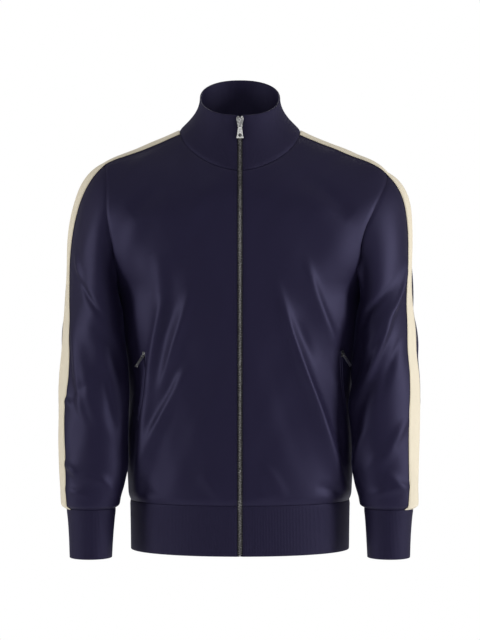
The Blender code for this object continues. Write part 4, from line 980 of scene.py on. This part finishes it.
def build_cloth():
    """Lay out every grid of the garment."""
    cloth = Cloth()
    bottoms, necks = {}, {}
    for side in SIDES:
        sign = SIDES[side]
        mirrored = side == "right"
        halves = {}
        for face, piece in (("front", "front_" + side), ("back", "back")):
            grid = torso_grid(side, face)
            uv = pair(run_across(grid) * sign, grid[..., 2])
            flip = (face == "front") != mirrored
            lift = torso_folds(face, grid)
            halves[face] = (grid, cloth.add(piece, grid, uv, lift, flip), flip)
        front, back = halves["front"][0], halves["back"][0]
        neck_row = STRIPE_CELLS + NECK_CELLS["front"]
        front_ids = halves["front"][1][neck_row:]
        cloth.lines["zip", side] = (front_ids[:, 0], front_ids[:, ZIP_STITCH_COLUMN])
        bottoms[side] = (front[-1], back[-1])
        necks[side] = (front[:STRIPE_CELLS + NECK_CELLS["front"] + 1, 0],
                       back[:STRIPE_CELLS + NECK_CELLS["back"] + 1, 0])
        sleeve, cuff = sleeve_grids(side)
        down = run_down(sleeve)
        sleeves = cloth.add("sleeve_" + side, sleeve, pair(run_across(sleeve), -down),
                            sleeve_folds(side, sleeve), mirrored)
        cloth.add("cuff_" + side, cuff, pair(run_across(cuff)[:1], cuff[..., 2]), None, mirrored)
        add_stripe(cloth, side, halves, sleeves, down, mirrored)
    ring = np.concatenate([
        bottoms["right"][0], bottoms["right"][1][-2::-1],
        bottoms["left"][1][1:], bottoms["left"][0][-2::-1]])
    hem = hem_grid(ring)
    cloth.add("hem_band", hem, pair(run_across(hem)[:1], hem[..., 2]))
    base = np.concatenate([
        necks["right"][0][::-1], necks["right"][1][1:],
        necks["left"][1][-2::-1], necks["left"][0][1:]])
    collar = collar_grid(base)
    cloth.add("collar", collar, pair(run_across(collar)[:1], run_down(collar)), None, True)
    cloth.settle()
    return cloth


def add_stripe(cloth, side, halves, sleeves, down, mirrored):
    """The stripe lies on cells of the front, back and sleeve, either side of the shoulder seam."""
    stripe = "stripe_" + side
    width = np.linspace(0, STRIPE_WIDTH / 2, STRIPE_CELLS + 1)
    shoulder = 0.0
    for face, way in (("front", 1), ("back", -1)):
        grid, ids, flip = halves[face]
        along = run_across(grid[:1])[0]
        shoulder = along[-1]
        uv = pair(way * width[:, None], along[None])
        cloth.add_cells(stripe, ids[:STRIPE_CELLS + 1], uv, flip)
        column_at = STRIPE_CELLS if face == "front" else -1 - STRIPE_CELLS
        cloth.lines[stripe, face] = (
            np.concatenate([ids[STRIPE_CELLS], sleeves[1:, column_at]]),
            np.concatenate([ids[STRIPE_CELLS - 1], sleeves[1:, column_at - way]]))
    drop = down[:, :STRIPE_CELLS + 1] + shoulder
    uv = pair(width, drop)
    cloth.add_cells(stripe, sleeves[:, :STRIPE_CELLS + 1], uv, mirrored)
    drop = down[:, -STRIPE_CELLS - 1:] + shoulder
    uv = pair(-width[::-1], drop)
    cloth.add_cells(stripe, sleeves[:, -STRIPE_CELLS - 1:], uv, mirrored)


def mesh_object(name, points, faces, material, flat=None):
    """A smooth object from points in millimetres."""
    mesh = bpy.data.meshes.new(name)
    mesh.from_pydata((np.asarray(points) * MM).tolist(), [], np.asarray(faces).tolist())
    if flat is not None:
        layer = mesh.uv_layers.new(name="flat")
        layer.data.foreach_set("uv", (flat.reshape(-1) * MM).astype(np.float32))
    mesh.shade_smooth()
    mesh.set_sharp_from_angle(angle=math.radians(SHARP_DEGREES))
    mesh.materials.append(material)
    obj = bpy.data.objects.new(name, mesh)
    bpy.context.scene.collection.objects.link(obj)
    return obj


# ---- materials -------------------------------------------------------------------------


class Shader:
    """A material's nodes, built one call at a time."""

    def __init__(self, name):
        self.material = bpy.data.materials.new(name)
        self.material.use_nodes = True
        self.nodes = self.material.node_tree.nodes
        self.links = self.material.node_tree.links
        self.surface = self.nodes["Principled BSDF"]

    def node(self, kind, settings=(), **inputs):
        made = self.nodes.new("ShaderNode" + kind)
        for key, value in dict(settings).items():
            setattr(made, key, value)
        for key, value in inputs.items():
            self.set(made, key, value)
        return made

    def set(self, node, key, value):
        socket = node.inputs[int(key[1:])] if key[0] == "i" and key[1:].isdigit() else \
            node.inputs[key.replace("_", " ")]
        if isinstance(value, bpy.types.NodeSocket):
            self.links.new(value, socket)
        else:
            socket.default_value = value

    def paint(self, **inputs):
        for key, value in inputs.items():
            self.set(self.surface, key, value)

    def math(self, operation, a, b=0.0):
        return self.node("Math", {"operation": operation}, i0=a, i1=b).outputs[0]

    def wave(self, value, period):
        """A sine from -1 to 1 of a length in metres."""
        return self.math("SINE", self.math("MULTIPLY", value, 2 * math.pi / period))

    def noise(self, vector, scale, detail=2.0):
        return self.node("TexNoise", Vector=vector, Scale=scale, Detail=detail).outputs["Fac"]

    def blend(self, factor, a, b):
        mix = self.node("Mix", {"data_type": "RGBA"}, i0=factor)
        for index, value in ((6, a), (7, b)):
            if isinstance(value, bpy.types.NodeSocket):
                self.links.new(value, mix.inputs[index])
            else:
                mix.inputs[index].default_value = (*value, 1.0)
        return mix.outputs[2]


def shade(colour, amount):
    return tuple(channel * amount for channel in colour)


def knit(name, colour, sheen, wale, course, depth, roughness=0.8, rib=None, gloss=PLAIN_GLOSS):
    """Knitted or woven cloth: fine loops by wale and course, ribs with painted shade in their
    valleys, fuzz and uneven dye.
    """
    shader = Shader(name)
    flat = shader.node("UVMap", {"uv_map": "flat"}).outputs[0]
    parts = shader.node("SeparateXYZ", i0=flat)
    u, v = parts.outputs[0], parts.outputs[1]
    body = shader.node("TexCoord").outputs["Object"]
    across = shader.wave(u, wale)
    leg = shader.math("ADD", v, shader.math("MULTIPLY", across, course * KNIT["slant"]))
    loops = shader.math("ADD", across, shader.wave(leg, course))
    fuzz = shader.noise(body, KNIT["fuzz"], 3.0)
    height = shader.math("ADD", shader.math("MULTIPLY", loops, KNIT["loops"]), fuzz)
    height = shader.math("MULTIPLY", height, depth)
    if rib:
        pitch, rise = rib
        groove = shader.math("ABSOLUTE", shader.wave(u, pitch * 2))
        groove = shader.math("POWER", groove, KNIT["groove_shape"])
        height = shader.math("ADD", height, shader.math("MULTIPLY", groove, rise))
    patches = shader.noise(body, KNIT["patches"], 3.0)
    speck = shader.noise(body, KNIT["specks"], 2.0)
    tone = shader.math("ADD", shader.math("MULTIPLY", patches, 0.5),
                       shader.math("MULTIPLY", speck, 0.5))
    cloth_colour = shader.blend(tone, shade(colour, KNIT["dark"]), shade(colour, KNIT["light"]))
    # painted shade: the colour darkens in the rib's valleys, where shade would fall
    if rib:
        cloth_colour = shader.blend(groove, shade(colour, KNIT["rib_valley_painted_shade"]), cloth_colour)
    bump = shader.node("Bump", Height=height, Strength=1.0, Distance=1.0).outputs[0]
    weight, sheen_roughness, tint = sheen
    level, shine = gloss
    shader.paint(Base_Color=cloth_colour, Normal=bump, Roughness=roughness,
                 Specular_IOR_Level=level, Specular_Tint=(*shine, 1.0), Sheen_Weight=weight,
                 Sheen_Roughness=sheen_roughness, Sheen_Tint=(*tint, 1.0))
    return shader.material


def metal(name, colour, roughness, tarnish):
    """Cast and polished metal, with darker stains scattered by noise and small scratches."""
    shader = Shader(name)
    body = shader.node("TexCoord").outputs["Object"]
    stain = shader.noise(body, METAL["stains"], 4.0)
    stain = shader.node("MapRange", i0=stain, i1=METAL["stain_from"],
                        i2=METAL["stain_to"]).outputs[0]
    brushed = shader.node("Mapping", i0=body, i3=(1.0, 1.0, METAL["stretch"])).outputs[0]
    scratch = shader.noise(brushed, METAL["scratches"], 2.0)
    rough = shader.math("ADD", shader.math("MULTIPLY", scratch, METAL["rough"]), roughness)
    height = shader.math("MULTIPLY", scratch, METAL["height"])
    bump = shader.node("Bump", Height=height, Distance=1.0).outputs[0]
    shader.paint(Base_Color=shader.blend(stain, shade(colour, tarnish), colour), Metallic=1.0,
                 Roughness=rough, Normal=bump)
    return shader.material


# ---- zip, pockets and stitching --------------------------------------------------------


def centre_line(cloth):
    """Points down the middle of the closed front, and normals, from the slider to the hem."""
    heights = np.concatenate([
        np.linspace(COLLAR_RIM["front_z"] - LINE_BELOW_RIM, NECK_FRONT_Z, LINE_TOP_STEPS)[:-1],
        np.linspace(NECK_FRONT_Z, HEM_Z, LINE_LOW_STEPS)])
    edge = np.abs(np.abs(cloth.surface[:, 0]) - ZIP_EDGE_X) < ON_LINE
    front = edge & (cloth.surface[:, 1] < 0)
    points = cloth.surface[front]
    order = np.argsort(-points[:, 2])
    points = points[order]
    y = np.interp(-heights, -points[:, 2], points[:, 1])
    line = np.stack([np.zeros_like(y), y, heights], axis=-1)
    along = unit(np.gradient(line, axis=0))
    out = np.stack([np.zeros_like(y), along[:, 2], -along[:, 1]], axis=-1)
    return line, out


def along_line(line, normals, at):
    """Points at these distances along a line, and the directions along, across and out."""
    run = lengths_along(line)

    def sample(values, where):
        return np.stack([np.interp(where, run, values[:, i]) for i in range(3)], axis=-1)
    out = unit(sample(normals, at))
    along = unit(sample(line, at + SLOPE_STEP) - sample(line, at - SLOPE_STEP))
    return sample(line, at), along, unit(np.cross(along, out)), out


def copies(shape, faces, points, along, across, out):
    """One mesh of many copies of a small shape, given in along, across and out."""
    spots = (points[:, None] + shape[None, :, 0:1] * along[:, None]
             + shape[None, :, 1:2] * across[:, None] + shape[None, :, 2:3] * out[:, None])
    shifts = np.arange(len(points))[:, None, None] * len(shape)
    return spots.reshape(-1, 3), (np.array(faces)[None] + shifts).reshape(-1, 3)


def block_shape(rings):
    """Closed stack of rectangles: each ring is (out, low and high along, low and high across)."""
    points, faces = [], []
    for level, a0, a1, c0, c1 in rings:
        points += [(a0, c0, level), (a1, c0, level), (a1, c1, level), (a0, c1, level)]
    for ring in range(len(rings) - 1):
        for i in range(4):
            a, b = ring * 4 + i, ring * 4 + (i + 1) % 4
            faces += [(a, b, b + 4), (a, b + 4, a + 4)]
    top = (len(rings) - 1) * 4
    faces += [(0, 2, 1), (0, 3, 2), (top, top + 1, top + 2), (top, top + 2, top + 3)]
    return np.array(points, dtype=float), faces


def build_teeth(cloth):
    """Two rows of separate teeth, half a pitch apart."""
    line, normals = centre_line(cloth)
    total = lengths_along(line)[-1]
    shape, faces = block_shape([
        (level, -TOOTH_HALF * share, TOOTH_HALF * share, inner, outer)
        for level, share, inner, outer in TOOTH_RINGS])
    every = []
    for way, shift in ((1, 0.0), (-1, TOOTH_PITCH / 2)):
        at = np.arange(TEETH_START + shift, total - TEETH_STOP, TOOTH_PITCH)
        points, along, across, out = along_line(line, normals, at)
        across = np.where(across[:, :1] * way < 0, -across, across)
        every.append(copies(shape, faces, points, along, across, out))
    return join_shapes(every)


def join_shapes(shapes):
    points, faces, count = [], [], 0
    for spots, cells in shapes:
        points.append(spots)
        faces.append(cells + count)
        count += len(spots)
    return np.concatenate(points), np.concatenate(faces)


def stitch_shape():
    """One thread stitch: a low bead with tapered ends."""
    rings = [(at * STITCH["length"], size * STITCH["width"] / 2, size * STITCH["rise"])
             for at, size in STITCH_RINGS]
    points, faces = [], []
    for at, half, top in rings:
        points += [(at, -half, STITCH_UNDER), (at, -half * 0.6, top * 0.8), (at, 0.0, top),
                   (at, half * 0.6, top * 0.8), (at, half, STITCH_UNDER)]
    for ring in range(len(rings) - 1):
        for i in range(4):
            a = ring * 5 + i
            faces += [(a, a + 5, a + 6), (a, a + 6, a + 1)]
        a, b = ring * 5, ring * 5 + 4
        faces += [(b, b + 5, a + 5), (b, a + 5, a)]
    last = len(points) - 5
    faces += [(0, 1, 2), (0, 2, 3), (0, 3, 4)]
    faces += [(last, last + 2, last + 1), (last, last + 3, last + 2), (last, last + 4, last + 3)]
    return np.array(points, dtype=float), faces


def stitch_row(cloth, line, offset, lift):
    """Stitches along one of the cloth's lines, so far in towards the line beside it."""
    edge, beside = cloth.lines[line]
    here, normals = cloth.surface[edge], cloth.out[edge]
    points = here + unit(cloth.surface[beside] - here) * offset + normals * lift
    at = np.arange(STITCH["pitch"], lengths_along(points)[-1] - STITCH["pitch"], STITCH["pitch"])
    return copies(*stitch_shape(), *along_line(points, normals, at))


def build_stitches(cloth, looks):
    """Thread along both edges of each stripe and beside the zip."""
    lift = STITCH["lift"]
    cream = [stitch_row(cloth, ("stripe_" + side, face), STRIPE_STITCH_IN, WALLS["stripe"][0] + lift)
             for side in SIDES for face in ("front", "back")]
    navy = [stitch_row(cloth, ("zip", side), ZIP_STITCH_IN, lift) for side in SIDES]
    for name, shapes, slot in (("stitches_stripes", cream, "cream"), ("stitches_zip", navy, "navy")):
        dress(mesh_object(name, *join_shapes(shapes), looks[name]))


def surface_under(cloth, piece, x, z):
    """The outer surface of a front panel at x, z, and its normal there."""
    cells = cloth.cells(piece)
    a, b, c = (cloth.surface[cells[:, i]] for i in range(3))
    ab, ac = (b - a)[:, [0, 2]], (c - a)[:, [0, 2]]
    to = np.array([x, z]) - a[:, [0, 2]]
    area = ab[:, 0] * ac[:, 1] - ab[:, 1] * ac[:, 0]
    area = np.where(np.abs(area) < 1e-9, 1e-9, area)
    u = (to[:, 0] * ac[:, 1] - to[:, 1] * ac[:, 0]) / area
    v = (ab[:, 0] * to[:, 1] - ab[:, 1] * to[:, 0]) / area
    miss = np.maximum(np.maximum(-u, -v), u + v - 1)
    i = int(np.argmin(miss))
    place = a[i] + (b[i] - a[i]) * u[i] + (c[i] - a[i]) * v[i]
    weights = np.array([1 - u[i] - v[i], u[i], v[i]])
    return place, unit(weights @ cloth.out[cells[i]])


def pocket_line(cloth, side):
    """Points and normals down the slanted pocket, on the front panel."""
    sign = SIDES[side]
    ends = [torso_place("front", *map(float, POCKETS[side][end])) for end in ("top", "bottom")]
    points, normals = [], []
    for t in np.linspace(0, 1, POCKET_STEPS + 1):
        p, a = ends[0] + (ends[1] - ends[0]) * t
        x, _, z = torso_point("front", p, a)
        place, normal = surface_under(cloth, "front_" + side, sign * x, z)
        points.append(place)
        normals.append(normal)
    return np.array(points), np.array(normals)


def build_pocket(cloth, side, material):
    """Two rolled lips with a slit between them, over the frame's plain strip."""
    points, normals = pocket_line(cloth, side)
    along = unit(np.gradient(points, axis=0))
    across = unit(np.cross(normals, along))
    normals = unit(np.cross(along, across))
    high, low = POCKET_OFFSET
    spread = np.linspace(-1, 1, POCKET_COLUMNS)
    shape = (high - LIP["below"] - LIP["slit"] * np.exp(-(spread / LIP["slit_width"]) ** 2)
             - LIP["roll"] * np.abs(spread) ** LIP["roll_power"])
    total = lengths_along(points)
    closing = fade(np.minimum(total, total[-1] - total), LIP["end"])[:, None]
    level = low + (shape[None] - low) * (LIP["end_level"] + (1 - LIP["end_level"]) * closing)
    row = points[:, None] + across[:, None] * (spread * POCKET_HALF_WIDTH)[None, :, None]
    top = row + normals[:, None] * level[..., None]
    bottom = row + normals[:, None] * low * np.ones_like(level)[..., None]
    uv = pair(spread[None] * POCKET_HALF_WIDTH, total[:, None])
    return closed_sheet("lips_" + side, top, bottom, uv, material)


def closed_sheet(name, top, bottom, uv, material):
    """A closed wall between two grids of points."""
    rows, cols = top.shape[:2]
    ids = np.arange(rows * cols).reshape(rows, cols)
    a, b = ids[:-1, :-1].ravel(), ids[:-1, 1:].ravel()
    c, d = ids[1:, 1:].ravel(), ids[1:, :-1].ravel()
    cells = np.concatenate([np.stack([a, b, c], -1), np.stack([a, c, d], -1)])
    normal = np.cross(top[0, 1] - top[0, 0], top[1, 0] - top[0, 0])
    if normal @ (top[0, 0] - bottom[0, 0]) < 0:
        cells = cells[:, ::-1]
    count = rows * cols
    rim = []
    for i, j in boundary(cells):
        rim += [(i, j + count, j), (i, i + count, j + count)]
    faces = np.concatenate([cells, cells[:, ::-1] + count, np.array(rim)])
    uv = np.tile(uv.reshape(-1, 2), (2, 1))
    return mesh_object(name, np.concatenate([top.reshape(-1, 3), bottom.reshape(-1, 3)]),
                       faces, material, uv[faces])


def build_tapes(cloth, material):
    """The woven tapes behind the closed front."""
    made = {}
    line, normals = centre_line(cloth)
    keep = line[:, 2] < TAPE_TOP_Z
    line, normals = line[keep], normals[keep]
    offsets = np.array(TAPE_OFFSETS)
    lean = np.maximum(offsets - ZIP_EDGE_X, 0.0) * TAPE_LEAN
    for side, sign in SIDES.items():
        place = line[:, None] + np.array([sign, 0, 0]) * offsets[None, :, None]
        place = place - normals[:, None] * lean[None, :, None]
        top, bottom = (place + normals[:, None] * depth for depth in (TAPE_FRONT, TAPE_BACK))
        uv = pair(offsets[None] * sign, lengths_along(line)[:, None])
        made["zip_tape_" + side] = closed_sheet("tape_" + side, top, bottom, uv, material)
    return made


# ---- the scene -------------------------------------------------------------------------


def dress(obj, node=None):
    """Put a piece on the jacket, in place of a node of the frame if one is named."""
    if node:
        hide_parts(node)
    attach(obj, "jacket")
    return obj


def cloth_pieces(cloth, looks):
    made = {}
    for piece in cloth.faces:
        if piece.startswith("stripe"):
            kind, look = "stripe", "cream"
        elif piece in ("collar", "hem_band") or piece.startswith("cuff"):
            kind, look = "rib", "navy_rib"
        else:
            kind, look = "body", "navy"
        points, faces, flat = cloth.wall(piece, *WALLS[kind])
        obj = mesh_object("cloth_" + piece, points, faces, looks[look], flat)
        made[piece] = dress(obj, piece)
    return made


def declare(obj):
    """Work out a size for the sheet, which is then dropped. This isn't a cut size: it is the box
    round the finished piece, widened until it can hold the mesh's own area, and that area, or a
    least share of the box."""
    size = np.array(obj.dimensions)
    area = sum(face.area for face in obj.data.polygons) / 2
    length = max(size[2], SHEET["least_length"])
    width = max(size[0], SHEET["least_width"])
    while width * length < area * SHEET["room"]:
        width *= SHEET["room"]


def area_light(name, place, target, size, power):
    data = bpy.data.lights.new(name, "AREA")
    data.shape = "RECTANGLE"
    data.size, data.size_y = size
    data.energy = power
    obj = bpy.data.objects.new(name, data)
    obj.location = place
    obj.rotation_mode = "QUATERNION"
    obj.rotation_quaternion = (Vector(target) - Vector(place)).to_track_quat("-Z", "Y")
    bpy.context.scene.collection.objects.link(obj)
    return obj


def set_stage():
    """A pale floor far below, a white surround, soft lights and the photo's camera."""
    scene = bpy.context.scene
    world = bpy.data.worlds.new("studio")
    scene.world = world
    world.use_nodes = True
    nodes, links = world.node_tree.nodes, world.node_tree.links
    ambient, seen = nodes["Background"], nodes.new("ShaderNodeBackground")
    for background, strength in ((ambient, AMBIENT), (seen, 1.0)):
        background.inputs["Color"].default_value = (1.0, 1.0, 1.0, 1.0)
        background.inputs["Strength"].default_value = strength
    mix = nodes.new("ShaderNodeMixShader")
    links.new(nodes.new("ShaderNodeLightPath").outputs["Is Camera Ray"], mix.inputs[0])
    links.new(ambient.outputs[0], mix.inputs[1])
    links.new(seen.outputs[0], mix.inputs[2])
    links.new(mix.outputs[0], nodes["World Output"].inputs["Surface"])

    floor_mesh = bpy.data.meshes.new("floor")
    half = FLOOR_SIZE / 2
    floor_mesh.from_pydata([(-half, -half, FLOOR_Z), (half, -half, FLOOR_Z), (half, half, FLOOR_Z),
                            (-half, half, FLOOR_Z)], [], [(0, 1, 2, 3)])
    floor_look = Shader("floor")
    grain = floor_look.noise(floor_look.node("TexCoord").outputs["Object"], 1.5)
    floor_look.paint(Base_Color=floor_look.blend(grain, (0.93, 0.93, 0.93), (0.97, 0.97, 0.97)),
                     Roughness=0.9, Emission_Color=(1.0, 1.0, 1.0, 1.0),
                     Emission_Strength=FLOOR_GLOW)
    floor_mesh.materials.append(floor_look.material)
    floor = bpy.data.objects.new("floor", floor_mesh)
    scene.collection.objects.link(floor)

    for name, place, size, power in LIGHTS:
        area_light(name, place, LIT_POINT, size, power)

    data = bpy.data.cameras.new("camera")
    data.sensor_width = SENSOR_MM
    data.lens = LENS_MM
    data.clip_start, data.clip_end = 0.05, 60.0
    camera = bpy.data.objects.new("camera", data)
    camera.location = (0.0, -CAMERA_DISTANCE, CAMERA_Z)
    camera.rotation_euler = (math.pi / 2, 0.0, 0.0)
    scene.collection.objects.link(camera)
    scene.camera = camera
    scene.view_settings.view_transform = "Standard"


def make_looks():
    jersey = {"wale": 0.0011, "course": 0.0009, "depth": 0.00004}
    thread = {"wale": 0.0004, "course": 0.0004, "depth": 0.00003, "roughness": 0.6}
    return {
        "navy": knit("navy knit", NAVY, NAVY_SHEEN, **jersey, roughness=0.5, gloss=SATIN_GLOSS),
        "navy_rib": knit("navy rib", NAVY_RIB, NAVY_SHEEN, **jersey, roughness=0.55,
                         rib=(0.0024, 0.00025), gloss=RIB_GLOSS),
        "cream": knit("cream tape", CREAM, (0.05, 0.4, (1.0, 0.97, 0.9)), wale=0.0012,
                      course=0.0008, depth=0.00009, roughness=0.75),
        "navy_tape": knit("zip tape", NAVY_TAPE, (0.05, 0.4, (0.7, 0.7, 1.0)), wale=0.0009,
                          course=0.0007, depth=0.00008),
        "chain_metal": metal("worn teeth", (0.30, 0.295, 0.295), roughness=0.3, tarnish=0.3),
        "silver": metal("polished silver", (0.78, 0.78, 0.77), roughness=0.2, tarnish=0.5),
        "cast_silver": metal("cast silver", (0.60, 0.60, 0.60), roughness=0.2, tarnish=0.1),
        "stitches_stripes": knit("cream thread", shade(CREAM, 0.95), (0.1, 0.4, (1.0, 1.0, 1.0)),
                                 **thread),
        "stitches_zip": knit("navy thread", shade(NAVY, 1.35), (0.2, 0.3, (0.6, 0.6, 1.0)),
                             **thread),
    }


def main():
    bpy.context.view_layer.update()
    looks = make_looks()
    cloth = build_cloth()
    made = cloth_pieces(cloth, looks)
    for side in SIDES:
        node = "pocket_lips_" + side
        made[node] = dress(build_pocket(cloth, side, looks["navy"]), node)
    for node, tape in build_tapes(cloth, looks["navy_tape"]).items():
        made[node] = dress(tape, node)
    teeth = mesh_object("zip_teeth", *build_teeth(cloth), looks["chain_metal"])
    dress(teeth, "zip_chain")
    build_stitches(cloth, looks)
    for node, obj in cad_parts.items():
        if "slider" in node or "pull" in node:
            obj.data.materials.clear()
            obj.data.materials.append(looks["cast_silver" if "slider" in node else "silver"])
    for obj in made.values():
        declare(obj)
    set_stage()


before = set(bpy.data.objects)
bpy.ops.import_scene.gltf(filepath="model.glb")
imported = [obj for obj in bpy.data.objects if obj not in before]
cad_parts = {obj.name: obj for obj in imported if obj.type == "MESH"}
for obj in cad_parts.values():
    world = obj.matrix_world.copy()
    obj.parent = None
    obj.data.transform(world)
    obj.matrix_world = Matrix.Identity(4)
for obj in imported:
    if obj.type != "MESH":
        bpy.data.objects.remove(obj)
main()
